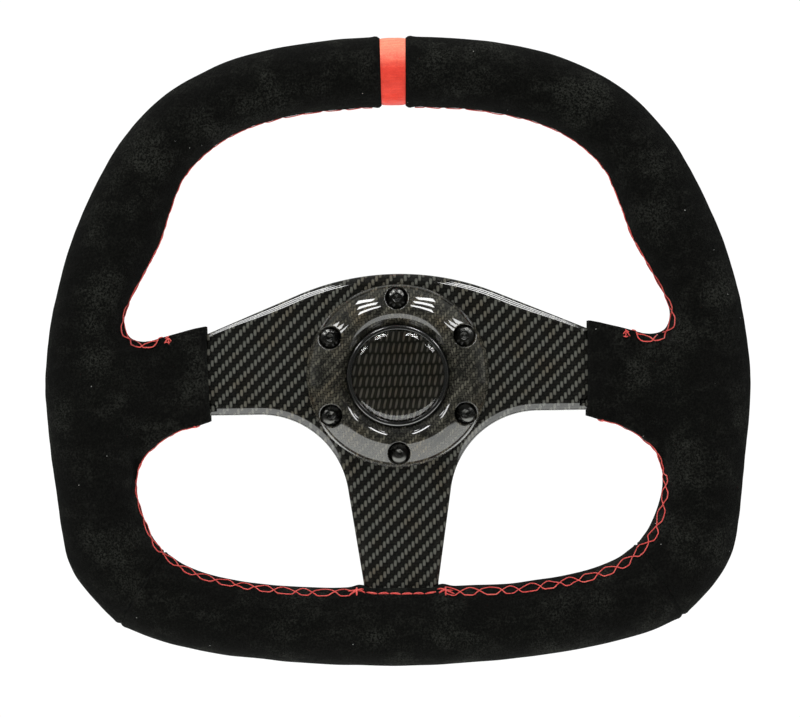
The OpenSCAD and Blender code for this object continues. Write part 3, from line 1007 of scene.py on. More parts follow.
# Angle round the section at which the sewn seam runs, by row, from the top centre down the
# right side and, with negative rows, down the left.
SEAM_RIGHT = ((0, 197), (3, 190), (6, 184), (9, 175), (10.3, 162), (11.5, 156), (12.6, 154), (13.4, 156),
              (18.2, 181), (19.5, 184), (20.5, 181), (21.5, 173), (22.5, 163), (24, 156),
              (26, 151), (28, 149), (30, 151), (32, 154))
SEAM_LEFT = ((0, 197), (3, 191), (6, 186), (9, 179), (10.3, 168), (11.5, 160), (12.6, 158), (13.4, 160),
             (18.2, 181), (19.5, 184), (20.5, 184), (22, 181), (24, 177), (26, 168), (28, 161),
             (30, 156), (32, 154))


@dataclass
class RimSkin:
    """The rim's surface, as a function of two parameters.

    The first is a row s, from 0 at the top centre to 32 at the bottom centre on the right,
    and on to 64 up the left side. The second is an angle round the section, in degrees,
    with 0 on the outer edge, 90 on the face, 180 on the inner edge and 270 on the back.
    """

    depth: float = 29.0
    cuff: float = 14.0
    lobe: float = 40.0
    middle: float = 46.5
    tongue_start: float = 20.0
    tongue_end: float = 5.0
    ear: float = 1.2
    ear_x: float = 18.8
    tuck: float = 1.3

    def fold(self, s: Array) -> Array:
        """Return the row on the right half that mirrors each row s."""
        return BOTTOM - np.abs(np.mod(s, AROUND) - BOTTOM)

    def edges(self, s: Array) -> tuple[Array, Array]:
        """Edges of the section at s.

        Args:
            s: Rows.

        Returns:
            Outer and inner edge points, where the inner one rises a little in an ear on
            each side of the bottom spoke.
        """
        rows = np.concatenate([EDGE_HALF, (EDGE_HALF[1:-1] * FLIP)[::-1]])
        at = catmull(rows, np.mod(s, AROUND))
        outer, inner = at[..., :2], at[..., 2:]
        row, numbers = self.fold(s), np.arange(BOTTOM + 1)
        side = np.where(np.mod(s, AROUND) > BOTTOM, -1.0, 1.0)
        straight = np.stack([side * np.interp(row, numbers, EDGE_HALF[:, 2]),
                             np.interp(row, numbers, EDGE_HALF[:, 3])], axis=-1)
        cuff = (row > CUFF_ROWS[0]) & (row < CUFF_ROWS[-1])
        inner = np.where(cuff[..., None], straight, inner)
        low = inner[..., 1] < -80
        inner[..., 1] += self.ear * hill(np.abs(inner[..., 0]), self.ear_x, 3.2) * low
        return outer, inner

    def half_depth(self, u: Array, length: Array) -> Array:
        """Half thickness of sections.

        It is an ellipse for the grip and a flat tongue with a rounded end for the cuff,
        joined as the cube root of the sum of their cubes.

        Args:
            u: Distances in from the outer edge, in millimetres.
            length: Lengths of the sections, from edge to edge.

        Returns:
            Half the thickness at each distance.
        """
        lobe = np.where(length <= self.lobe, length, self.lobe + 0.35 * (length - self.lobe))
        tongue = self.cuff / 2 * smooth(length, self.lobe, self.lobe + 12)
        grip = self.depth / 2 * np.sqrt(np.maximum(0, 1 - (2 * u / lobe - 1) ** 2))
        grip = np.where(u < lobe, grip, 0)
        start = np.sqrt(np.maximum(0, 1 - np.maximum(0, 1 - u / self.tongue_start) ** 2))
        end = np.maximum(0, 1 - np.maximum(0, 1 - (length - u) / self.tongue_end) ** 4) ** 0.25
        return np.cbrt(grip**3 + (tongue * start * end) ** 3)

    def at(self, s: Array, angle: Array, inset: Array | float = 0.0) -> Array:
        """Points of the skin.

        Args:
            s: Rows.
            angle: Angles round the section in degrees.
            inset: How far below the suede's own surface the points lie.

        Returns:
            Points (x, y, height).
        """
        s, angle, inset = np.broadcast_arrays(*(np.asarray(v, float) for v in (s, angle, inset)))
        outer, inner = self.edges(s)
        span = inner - outer
        length = np.linalg.norm(span, axis=-1)
        share = (1 - np.cos(np.radians(angle))) / 2
        reach = inset + share * (length - 2 * inset)
        height = self.half_depth(share * length, length) * (1 - 2 * inset / self.depth)
        sign = np.where(np.mod(angle, 360) < 180, 1.0, -1.0)
        tucked = self.mouth(s, height, length - share * length)
        flat = outer + span / length[..., None] * (reach - tucked)[..., None]
        return np.concatenate([flat, (self.middle + sign * height)[..., None]], axis=-1)

    def mouth(self, s: Array, height: Array, end: Array) -> Array:
        """Return how far a cuff's end is tucked in round the spoke plate."""
        cuff = hill(self.fold(s), CUFF_MIDDLE, 1.25)
        return self.tuck * cuff * np.exp(-((height / 3.4) ** 4)) * np.exp(-end / 2.5)

    def normal(self, s: Array, angle: Array) -> Array:
        """Outward normals, from small steps along both parameters.

        Args:
            s: Rows.
            angle: Angles round the section in degrees.

        Returns:
            Unit vectors.
        """
        along = self.at(s + 0.01, angle) - self.at(s - 0.01, angle)
        around = self.at(s, angle + 0.5) - self.at(s, angle - 0.5)
        return unit(np.cross(around, along))

    def seam_angle(self, s: Array) -> Array:
        """Place of the sewn seam.

        Args:
            s: Rows.

        Returns:
            The angle round the section at which the seam runs, in degrees.
        """
        signed = np.mod(s + BOTTOM, AROUND) - BOTTOM
        left = [(-row, angle) for row, angle in SEAM_LEFT[:0:-1]]
        table = np.array([*left, *SEAM_RIGHT])
        return np.interp(signed, table[:, 0], table[:, 1])

    def square_on(self, s: Array, angle: Array) -> tuple[Array, Array]:
        """Correct places where the sections run aslant to the cuff's edge.

        On a square section the angle puts a point some way in from the inner edge. Here
        the point is set as far in, square to the edge, and nearest() finds its place.

        Args:
            s: Rows.
            angle: Angles that would do on a square section.

        Returns:
            The corrected rows and angles.
        """
        row = self.fold(s)
        side = np.where(np.mod(s, AROUND) > BOTTOM, -1.0, 1.0)
        slant = (row > SLANT_ROWS[0]) & (row < SLANT_ROWS[1])
        outer, inner = self.edges(row)
        angle = np.where(slant, np.minimum(angle, 178.5), angle)
        along = unit(self.edges(row + 0.02)[1] - self.edges(row - 0.02)[1])
        inward = np.stack([-along[..., 1], along[..., 0]], axis=-1)
        inward *= np.sign(np.sum(inward * (outer - inner), axis=-1, keepdims=True))
        way = (1 + np.cos(np.radians(angle))) / 2 * self.lobe
        found_s, found_angle = s.astype(float), angle.astype(float)
        if slant.any():
            near_row, found_angle[slant] = self.nearest((inner + way[..., None] * inward)[slant])
            found_s[slant] = near_row * side[slant]
        return found_s, found_angle

    def nearest(self, target: Array) -> tuple[Array, Array]:
        """Find places on the face of the right cuff.

        Args:
            target: Points (x, y).

        Returns:
            The row and the angle of each, as the mean of the four nearest samples.
        """
        rows, angles = np.meshgrid(np.linspace(9.4, 15.9, 380), np.linspace(60, 179.2, 200))
        rows, angles = rows.ravel(), angles.ravel()
        samples = self.at(rows, angles)[:, :2]
        far = np.concatenate([np.linalg.norm(samples[None] - block[:, None], axis=-1)
                              for block in np.array_split(target, 1 + len(target) // 60)])
        near = np.argpartition(far, 4, axis=1)[:, :4]
        weight = 1 / (np.take_along_axis(far, near, axis=1) + 0.02)
        weight /= weight.sum(axis=1, keepdims=True)
        return (rows[near] * weight).sum(axis=1), (angles[near] * weight).sum(axis=1)

    def relief(self, s: Array, angle: Array) -> Array:
        """How far the suede stands off its plain surface.

        It is the sum of the padding's unevenness, a groove along the sewn seam, a fold
        beside each cuff's edge, and small puckers where the seams pull.

        Args:
            s: Rows.
            angle: Angles round the section in degrees.

        Returns:
            Heights in millimetres.
        """
        points = self.at(s, angle)
        row = self.fold(s)
        uneven = 0.16 * undulation(points, 34, 3) + 0.07 * undulation(points, 11, 4)
        sewn = smooth(row, 21.0, 22.0) + (1 - smooth(row, 9.5, 10.5))
        off_seam = angle - self.seam_angle(s)
        groove = -0.4 * hill(off_seam, 0, 3.2) * sewn
        pucker = 0.12 * np.sin(row * TURN * 1.9) * hill(off_seam, 0, 14) * sewn
        from_end = np.linalg.norm(self.edges(s)[1] - points[..., :2], axis=-1)
        cuff = hill(row, CUFF_MIDDLE, 1.15)
        fold = (0.3 * hill(from_end, 1.9, 1.3) - 0.32 * hill(from_end, 4.4, 0.8)) * cuff
        slack = 0.3 * hill(row, SEAM_ROW, 0.8) * np.sin(np.radians(angle) * 5 + row * 4)
        return uneven + groove + pucker + fold + slack * hill(row, SEAM_ROW, 0.5)

    def stations(self, start: float, end: float, spacing: float) -> Array:
        """Rows between two rows, spaced evenly along the longer of the two edges.

        Args:
            start: First row.
            end: Last row.
            spacing: Wanted distance in millimetres.

        Returns:
            The rows, with both ends.
        """
        fine = np.linspace(start, end, 4000)
        steps = [np.linalg.norm(np.diff(edge, axis=0), axis=1) for edge in self.edges(fine)]
        run = np.concatenate([[0], np.cumsum(np.maximum(*steps))])
        count = max(4, int(run[-1] / spacing) + 1)
        even = np.interp(np.linspace(0, run[-1], count), run, fine)
        kept = np.array([sign * row for row in CUFF_ROWS for sign in (1, -1)])
        kept = kept[(kept > start) & (kept < end)]
        near = np.abs(even[:, None] - kept[None, :]).min(axis=1, initial=9) < 0.01
        return np.unique(np.concatenate([even[~near], kept]))


@dataclass
class SuedeCovers:
    """The three suede covers, the foam that they are stretched over, and the red marker."""

    skin: RimSkin
    thickness: float = 1.3
    marker_width: float = 11.6
    marker_inset: float = 0.75
    columns: int = 88
    spacing: float = 1.15

    def marker_row(self) -> float:
        """Return the row on which the marker's right edge lies."""
        return self.marker_width / 2 / EDGE_HALF[1, 0]

    def cover(self, start: float, end: float) -> Shell:
        """One cover as a closed skin.

        Its rings go out along the face from start to end, turn over the hem, and come back
        along the inside, where they close on the first ring.

        Args:
            start: Row of one hem.
            end: Row of the other hem.

        Returns:
            The shell.
        """
        out = self.skin.stations(start, end, self.spacing)
        back = self.skin.stations(start, end, self.spacing * 5)[::-1]
        rows = np.concatenate([out, back])[:, None]
        angle = np.linspace(0, 360, self.columns, endpoint=False)[None, :]
        angle = angle - 7 * np.sin(2 * np.radians(angle))
        inside = np.concatenate([np.zeros(len(out)), np.full(len(back), self.thickness)])[:, None]
        points = self.skin.at(rows, angle, inside)
        hem = self.hem_roll(rows, start, end)
        lift = (self.skin.relief(rows, angle) + hem) * (inside == 0)
        points = points + lift[..., None] * self.skin.normal(rows, angle)
        return grid_shell(points, close_rows=True)

    def hem_roll(self, rows: Array, start: float, end: float) -> Array:
        """Height of the suede beside its hems.

        It swells by 0.3 mm some 2 mm from the hem and then rolls down, by 0.85 mm beside
        the marker and by 0.5 mm at the lower seams.

        Args:
            rows: Rows of the cover.
            start: Row of one hem.
            end: Row of the other hem.

        Returns:
            Heights in millimetres.
        """
        outer, _ = self.skin.edges(rows)
        roll = np.zeros_like(rows)
        for row in (start, end):
            at, _ = self.skin.edges(np.array(row))
            away = np.linalg.norm(outer - at, axis=-1)
            deep = 0.5 if self.skin.fold(row) == SEAM_ROW else 0.85
            roll += 0.3 * hill(away, 2.0, 1.3) - deep * hill(away, 0.0, 0.8)
        return roll

    def marker(self) -> Shell:
        """The marker: a band of leather set a little into the rim.

        Returns:
            The shell, which is closed like a cover and wrinkled on its outside only.
        """
        edge = self.marker_row()
        out = np.linspace(-edge, edge, 26)
        back = np.linspace(edge, -edge, 6)
        rows = np.concatenate([out, back])[:, None]
        angle = np.linspace(0, 360, 96, endpoint=False)[None, :]
        crown = self.marker_inset + 0.35 * np.abs(rows / edge) ** 4
        outside = np.arange(len(rows))[:, None] < len(out)
        inset = np.where(outside, crown, self.thickness)
        wrinkle = 0.05 * np.sin(np.radians(angle) * 41 + 3 * np.sin(rows * 9)) * outside
        points = self.skin.at(rows, angle, inset)
        return grid_shell(points + wrinkle[..., None] * self.skin.normal(rows, angle), close_rows=True)

    def foam(self) -> Shell:
        """Return the smooth foam ring, a little clear of the covers' inside."""
        rows, angle = np.meshgrid(*(np.linspace(0, end, count, endpoint=False)
                                    for end, count in ((AROUND, 480), (360, 48))), indexing="ij")
        return grid_shell(self.skin.at(rows, angle, self.thickness + 0.35), close_rows=True)

    def build(self) -> None:
        """Make the covers, the marker and the foam, and fit them."""
        edge = self.marker_row()
        spans = {"left": (-SEAM_ROW, -edge), "right": (edge, SEAM_ROW),
                 "bottom": (SEAM_ROW, AROUND - SEAM_ROW)}
        for name, (start, end) in spans.items():
            piece = make_piece("suede_" + name, [self.cover(start, end)], SUEDE, 75)
            fit(piece, "wheel", "cover_" + name)
        fit(make_piece("marker_band", [self.marker()], LEATHER, 60), "wheel", "centre_marker")
        foam = fit(make_piece("foam_ring", [self.foam()], FOAM, 60), "wheel", "rim_foam")


@dataclass
class Stitching:
    """The red thread: a chain along the inner seam, a hem of dashes, and its tacks."""

    skin: RimSkin
    pitch: float = 18.0
    swing: float = 10.5
    thread: float = 0.25
    ply: float = 1.1
    step: float = 0.35

    def wave(self, turns: Array, sign: int) -> Array:
        """Return a triangle wave of 1 to -1, whose peaks below 0 are cut off flat at half height."""
        triangle = sign * (1 - 4 * np.abs(np.mod(turns, 1) - 0.5))
        return np.where(triangle > 0, np.minimum(1.1 * triangle, 1), np.maximum(2.1 * triangle, -1))

    def strand(self, start: float, end: float, phase: float, sign: int) -> Shell:
        """One strand of the chain.

        Args:
            start: Row where it starts.
            end: Row where it ends.
            phase: Shift along the seam, in turns.
            sign: 1 or -1 for the strand and its mirror image.

        Returns:
            The thread as a tube that swings to both sides of the seam, over and under the
            other strand.
        """
        fine = np.linspace(start, end, 3000)
        middle = self.skin.at(fine, self.skin.seam_angle(fine))
        run = run_along(middle)
        along = np.arange(0, run[-1], self.step)
        rows = np.interp(along, run, fine)
        random = np.random.default_rng(17 + sign)
        marks = np.arange(0, run[-1] + 4, 4)
        jitter = np.interp(along, marks, random.normal(0, 0.06, len(marks)))
        turns = along / self.pitch + phase + jitter
        angle = self.skin.seam_angle(rows) + self.swing * self.wave(turns, sign)
        rows, angle = self.skin.square_on(rows, angle)
        normal = self.skin.normal(rows, angle)
        over = 0.16 * sign * np.sin(turns * TURN + 0.6)
        lift = self.thread * 0.75 + over + self.skin.relief(rows, angle)
        path = self.skin.at(rows, angle) + lift[:, None] * normal
        even = np.pad(path, ((2, 2), (0, 0)), mode="edge")
        path = (even[:-4] + even[1:-3] + even[2:-2] + even[3:-1] + even[4:]) / 5
        return tube(path, normal, np.full(len(path), self.thread), ply=self.ply)

    def stroke(self, rows: tuple[float, float], angles: tuple[float, float],
               radius: float = 0.45) -> Shell:
        """One short straight stitch over the skin.

        Args:
            rows: Rows of its two ends.
            angles: Angles of its two ends.
            radius: Its radius in the middle.

        Returns:
            The shell.
        """
        share = np.linspace(0, 1, 14)
        row = rows[0] + share * (rows[1] - rows[0])
        return self.laid(row, angles[0] + share * (angles[1] - angles[0]), radius)

    def laid(self, row: Array, angle: Array, radius: float) -> Shell:
        """A short thread over the skin, thick in its middle, whose thin ends dive in.

        Args:
            row: Rows that it runs over.
            angle: Angles that it runs over.
            radius: Its radius in the middle.

        Returns:
            The shell.
        """
        share = np.linspace(0, 1, len(row))
        normal = self.skin.normal(row, angle)
        arch = np.sin(share * math.pi) ** 0.5
        lift = -0.25 + (0.25 + 0.75 * radius) * arch + self.skin.relief(row, angle)
        path = self.skin.at(row, angle) + lift[:, None] * normal
        return tube(path, normal, radius * (0.55 + 0.45 * arch), ply=self.ply)

    def tack(self, row: float, side: Side) -> list[Shell]:
        """The knot that ends a chain: three short stitches that cross at one place.

        Args:
            row: Row of the knot, counted on the right side.
            side: Side of the wheel.

        Returns:
            The shells.
        """
        at = row * side.value
        middle = float(self.skin.seam_angle(np.array(at)))
        marks = (((0, 0), (-13, 9)), ((-0.16, 0.16), (-6, 5)), ((-0.13, 0.13), (4, -7)))
        return [self.stroke((at + r[0], at + r[1]), (middle + a[0], middle + a[1])) for r, a in marks]

    def cuff_tack(self, side: Side) -> list[Shell]:
        """The knot on top of a cuff, whose three short stitches fan out from one place.

        Args:
            side: Side of the wheel.

        Returns:
            The shells.
        """
        shells = []
        for bearing_deg, reach in ((222, 2.0), (262, 2.9), (305, 3.0)):
            bearing = math.radians(bearing_deg)
            away = np.linspace(-0.3, reach, 12)[:, None]
            target = np.array(CUFF_KNOT) + away * [math.cos(bearing), math.sin(bearing)]
            row, angle = self.skin.nearest(target)
            shells.append(self.laid(row * side.value, angle, 0.28))
        return shells

    def chain(self, start: float, end: float, side: Side) -> list[Shell]:
        """Both strands of one chain with the tacks at its ends.

        Args:
            start: Row at one end, counted on the right side.
            end: Row at the other end.
            side: Side of the wheel.

        Returns:
            The shells.
        """
        first, last = start * side.value, end * side.value
        strands = [self.strand(first, last, 0.0, 1), self.strand(first, last, 0.0, -1)]
        if start < CUFF_ROWS[0]:
            return strands + self.cuff_tack(side)
        return strands + self.tack(start, side) + self.tack(end, side)

    def hem(self) -> list[Shell]:
        """Six dashes in a shallow smile along the edge where the bottom spoke goes in.

        Returns:
            The shells.
        """
        dashes, count, pitch, half = [], 6, 5.45, 2.45
        for number in range(count):
            middle = pitch * (number - (count - 1) / 2)
            ends = np.array([middle - half, middle + half])
            rows = BOTTOM - ends / EDGE_HALF[-2, 0]
            angles = 149.5 + 3.0 * (np.abs(ends) / 16) ** 2
            dashes.append(self.stroke(tuple(rows), tuple(angles), 0.46))
        return dashes

    def build(self) -> None:
        """Make the four chains and the hem, and fit them."""
        runs = {"upper": (0.3, 13.0), "lower": (18.2, 31.08)}
        for side in Side:
            for name, (start, end) in runs.items():
                tail = f"{name}_{side.name.lower()}"
                piece = make_piece("thread_" + tail, self.chain(start, end, side), THREAD)
                fit(piece, "wheel", "stitch_" + tail)
        fit(make_piece("thread_hem", self.hem(), THREAD), "wheel", "stitch_hem")


# ---------------------------------------------------------------- spokes and hub


# Tilt of the spoke plate's front edge by distance out from the flat face.
EDGE_TILTS = ((0, 0), (0.8, 8), (1.5, 20), (3.3, 34), (3.8, 39), (4.15, 52), (4.4, 70), (4.5, 80))


@dataclass
class SpokePlate:
    """The three-spoke plate of carbon fibre, with rounded edges and its centre hole."""

    back: float = 44.0
    thickness: float = 5.0
    edge: float = 4.5
    hole: float = 25.4
    spacing: float = 1.2
    back_edge: float = 0.9
    margin: float = 0.5

    def outline(self) -> Array:
        """Outline of the plate.

        Returns:
            Points all the way round: an arc over the top, the ends that sit in the cuffs,
            a round notch on each side of the bottom spoke, and the bottom spoke.
        """
        right = np.concatenate([
            arc(0, -71, 117.2, 90, 67.4, 40),
            [[87, 19.8], [87.4, 15], [147, 15], [147, -13], [87.4, -13], [87, -17]],
            arc(63, -57, 40, 90, 171.3, 60), [[17, -94], [17, -118]]])
        left = (right * [-1, 1])[::-1][:-1]
        closed = np.concatenate([right, left, right[:1]])
        return resample(closed, self.spacing)[:-1]

    def ring(self, outline: Array, inset: float) -> Array:
        """The outline moved in along its own normals.

        Args:
            outline: Points all the way round.
            inset: How far they move.

        Returns:
            The moved points.
        """
        ahead, behind = np.roll(outline, -1, axis=0), np.roll(outline, 1, axis=0)
        along = unit(ahead - behind)
        inward = np.stack([along[:, 1], -along[:, 0]], axis=1)
        return outline + inset * inward

    def shell(self) -> Shell:
        """The plate as a closed skin.

        Rings go from the back face over the rounded edge to the front face. EDGE_TILTS
        shapes the edge, which narrows to half its size along the top towards the cuffs. The
        hole's wall joins both faces.

        Returns:
            The shell.
        """
        outline = self.outline()
        top, turn = self.back + self.thickness, np.linspace(0, math.pi / 2, 6)
        low = self.back_edge
        steps = [(low + self.margin, self.back)]
        steps += [(low * (1 - math.sin(t)), self.back + low * (1 - math.cos(t))) for t in turn]
        out = self.edge * (1 - (1 - np.linspace(0, 1, 26)) ** 1.5)
        drop = tilted_line(EDGE_TILTS, out)
        size = 1 - 0.5 * smooth(np.abs(outline[:, :1]), 50, 84) * (outline[:, 1:] > 0)
        steps += [((self.edge - o) * size, top + d * size[:, 0]) for o, d in zip(out[::-1], drop[::-1])]
        steps += [(self.edge * size + self.margin, top)]
        rings = [np.column_stack([self.ring(outline, inset), height + 0 * outline[:, 0]])
                 for inset, height in steps]
        count = len(outline)
        hole = arc(0, 0, self.hole, 0, 360, 161)[:-1]
        walls = [np.column_stack([hole, np.full(len(hole), h)]) for h in (self.back, top)]
        points = np.concatenate(rings + walls)
        first = count * len(rings)
        faces = [quads(len(rings), count), first + quads(2, len(hole))[:, ::-1]]
        faces.append(self.face(rings[-1], walls[1], count * (len(rings) - 1), first + len(hole), True))
        faces.append(self.face(rings[0], walls[0], 0, first, False))
        return Shell(points, faces)

    def face(self, rim: Array, hole: Array, rim_at: int, hole_at: int, front: bool) -> Array:
        """Triangles of a flat face between the rim's ring and the hole's.

        Args:
            rim: Points of the outer ring.
            hole: Points of the hole.
            rim_at: Number of the outer ring's first point.
            hole_at: Number of the hole's first point.
            front: Whether the face looks towards the driver.

        Returns:
            Triangles as point numbers.
        """
        found = np.array(tessellate_polygon([[Vector(p) for p in rim], [Vector(p) for p in hole]]))
        points = np.concatenate([rim, hole])[found]
        area = np.cross(points[:, 1] - points[:, 0], points[:, 2] - points[:, 0])[:, 2]
        turned = (area > 0) != front
        found[turned] = found[turned][:, ::-1]
        return np.where(found < len(rim), found + rim_at, found - len(rim) + hole_at)

    def build(self) -> None:
        """Make the plate and fit it."""
        fit(make_piece("carbon_spokes", [self.shell()], CARBON, 50), "wheel", "spoke_plate")


# Tilt of the trim ring's face by radius: below 0 it faces inwards, above 0 outwards.
RING_TILTS = ((23.2, -60), (23.5, -42), (24, -37), (26, -29), (27.8, -20), (28.6, -12), (29.4, -5),
              (30.2, 0), (30.8, 10), (31.4, 18), (32, 22), (34.5, 28.5), (37, 35), (38.5, 38),
              (39.8, 42), (40.6, 52), (41.1, 64), (41.5, 78))


@dataclass
class TrimRing:
    """The moulded trim ring, with six round pockets for the bolt heads."""

    base: float = 49.0
    outer: float = 41.5
    inner: float = 23.2
    bolt_circle: float = 35.0
    pocket: float = 5.1
    seat: float = 1.8
    lip: float = 0.4
    side_points: int = 60
    flank_points: int = 28
    split_radius: float = 28.7
    crest_height: float = 8.95

    def profile(self) -> Array:
        """The ring's section.

        The crest and both slopes come from RING_TILTS.

        Returns:
            Points (radius, height) from the inner foot over the crest to the outer foot.
        """
        radius = np.linspace(self.inner, self.outer, 560)
        height = self.crest_height + tilted_line(RING_TILTS, radius)
        inner = np.column_stack([np.full(20, self.inner), np.linspace(0, height[0], 20, endpoint=False)])
        outer = np.column_stack([np.full(8, self.outer), np.linspace(height[-1], 0, 9)[1:]])
        return np.concatenate([inner, np.column_stack([radius, height]), outer])

    def crest(self, line: Array, run: Array, split: float) -> Array:
        """The inner zone of one sixth: the section, carried round the axle.

        Args:
            line: The section.
            run: Distance along it.
            split: Distance at which the outer zone starts.

        Returns:
            Points (rows, columns, 3) from the inner foot to the split.
        """
        at = np.linspace(0, split, 40)
        radius, height = np.interp(at, run, line[:, 0]), np.interp(at, run, line[:, 1])
        turn = math.pi / 6 * (1 - 2 * np.linspace(0, 1, self.side_points + 1))
        return polar(radius[:, None], turn, height[:, None])

    def pocket_zone(self, line: Array, run: Array, split: float) -> Array:
        """The outer zone of one sixth, as rings from its edge in to the pocket's floor.

        The zone is a rectangle in the distance along the section and the angle round the
        axle. Straight lines join its edge to the pocket's mouth, a circle. From the mouth
        the rows roll over the lip, go down the wall and close on the floor.

        Args:
            line: The section.
            run: Distance along it.
            split: Distance at which the zone starts.

        Returns:
            Points (rows, columns, 3).
        """
        end, width = run[-1], self.bolt_circle * math.pi / 6
        n = self.side_points
        along = split + (end - split) * np.linspace(0, 1, self.flank_points, endpoint=False)
        over = width * (1 - 2 * np.linspace(0, 1, n, endpoint=False))
        square = np.concatenate([
            np.column_stack([along, np.full(len(along), -width)]),
            np.column_stack([np.full(n, end), -over]),
            np.column_stack([end + split - along, np.full(len(along), width)]),
            np.column_stack([np.full(n, split), over])])
        outward = run > split
        middle = np.interp(self.bolt_circle, line[outward, 0], run[outward])
        bearing = np.arctan2(square[:, 1], square[:, 0] - middle)
        mouth = self.pocket + self.lip
        x = self.bolt_circle + mouth * np.cos(bearing)
        y = mouth * np.sin(bearing)
        rim = np.column_stack([np.interp(np.hypot(x, y), line[outward, 0], run[outward]),
                               self.bolt_circle * np.arctan2(y, x)])
        share = (1 - np.linspace(0, 1, 26))[:, None, None]
        place = rim + (square - rim) * share**1.15
        radius, height = (np.interp(place[..., 0], run, line[:, k]) for k in (0, 1))
        turn = place[..., 1] / self.bolt_circle
        slope = polar(radius, turn, height)
        top, low = slope[-1, :, 2], self.seat
        rows = [(self.pocket + self.lip * (1 - math.sin(t)), top - self.lip * (1 - math.cos(t)))
                for t in np.linspace(0, math.pi / 2, 6)[1:]]
        wall = rows[-1][1]
        rows += [(self.pocket, wall + (low + 0.12 - wall) * share_down) for share_down in (0.4, 0.8)]
        rows += [(self.pocket - 0.05, low + 0.05 + 0 * top), (self.pocket - 0.3, low + 0 * top),
                 (2.9, low + 0 * top), (0.6, low + 0 * top)]
        inside = [np.stack([self.bolt_circle + r * np.cos(bearing), r * np.sin(bearing), h], axis=-1)
                  for r, h in rows]
        return np.concatenate([slope, np.stack(inside)])

    def shells(self) -> Shell:
        """The whole ring: six sixths of both zones, turned round the axle, and the foot.

        Returns:
            One shell, whose seams weld() still has to close.
        """
        line = self.profile()
        run = run_along(line)
        split = float(np.interp(self.split_radius, line[:, 0], run))
        crest, pocket = self.crest(line, run, split), self.pocket_zone(line, run, split)
        n, points, faces, start = self.side_points, [], [], 0
        outer_foot = np.arange(self.flank_points, self.flank_points + n + 1)[::-1]
        for number in range(6):
            turn = spun(math.radians(30 + 60 * number))
            for grid in (crest, pocket):
                points.append(grid.reshape(-1, 3) @ turn + [0, 0, self.base])
            inner, outer = start + np.arange(n + 1), start + crest[..., 0].size + outer_foot
            faces.append(quads(*crest.shape[:2], close_columns=False)[:, ::-1] + start)
            faces.append(np.column_stack([inner[:-1], inner[1:], outer[1:], outer[:-1]]))
            start += crest[..., 0].size
            faces += [quads(*pocket.shape[:2]) + start,
                      ring_cap((len(pocket) - 1) * pocket.shape[1], pocket.shape[1]) + start]
            start += pocket[..., 0].size
        return Shell(np.concatenate(points), faces)

    def build(self) -> None:
        """Make the ring, close its seams, and fit it."""
        piece = make_piece("carbon_trim", [self.shells()], CARBON_RING, 50)
        weld(piece)
        fit(piece, "wheel", "trim_ring")


def weld(piece: bpy.types.Object) -> None:
    """Merge the points of a piece that lie on each other, and point its faces outwards.

    Args:
        piece: The piece.
    """
    reach = 0.000004
    work = bmesh.new()
    work.from_mesh(piece.data)
    bmesh.ops.remove_doubles(work, verts=work.verts, dist=reach)
    bmesh.ops.recalc_face_normals(work, faces=work.faces)
    work.to_mesh(piece.data)
    work.free()


# The socket of a bolt: share of the hexagon's size, and height over the top of the head.
SOCKET_ROWS = ((1.12, 0.02), (1.0, -0.12), (1.0, -1.3), (0.99, -1.5), (0.1, -1.9))


@dataclass
class WheelBolts:
    """The six button-head bolts, with hexagon sockets."""

    circle: float = 35.0
    seat: float = 50.8
    head: float = 4.75
    dome: float = 2.15
    rim: float = 0.6
    shank: float = 2.5
    tip: float = 39.0
    flats: float = 3.0

    def bolt(self) -> Array:
        """One bolt on the axis.

        Returns:
            Points (rows, columns, 3). The rows go up the shank, under the head, over its
            dome and down the socket, where the radius follows a hexagon: half the width
            over flats, divided by the cosine of the angle from the nearest flat's middle.
        """
        angle = np.linspace(0, TURN, 96, endpoint=False)
        flat = np.mod(angle + math.pi / 6, math.pi / 3) - math.pi / 6
        hexagon = self.flats / 2 / np.cos(flat)
        rows = [(0.3, self.tip), (2.1, self.tip), (self.shank, self.tip + 0.4), (self.shank, self.seat),
                (self.head - 0.15, self.seat), (self.head, self.seat + 0.15),
                (self.head, self.seat + self.rim)]
        bow, full = np.radians(np.linspace(8, 62, 9)), math.sin(1.08)
        low = self.seat + self.rim
        rows += [(self.head * math.cos(t), low + self.dome * math.sin(t) / full) for t in bow]
        top = rows[-1][1]
        rows += [(hexagon * scale, top + rise) for scale, rise in SOCKET_ROWS]
        return np.stack([polar(radius, angle, height) for radius, height in rows])

    def build(self) -> None:
        """Make the six bolts, each turned by its own amount, and fit them."""
        shells = []
        for number in range(6):
            angle, spin = math.radians(30 + 60 * number), math.radians(23 * number + 11)
            away = [self.circle * math.cos(angle), self.circle * math.sin(angle), 0]
            shells.append(grid_shell(self.bolt() @ spun(spin) + away))
        fit(make_piece("button_bolts", shells, BLACK_STEEL, 35), "wheel", "wheel_bolts")


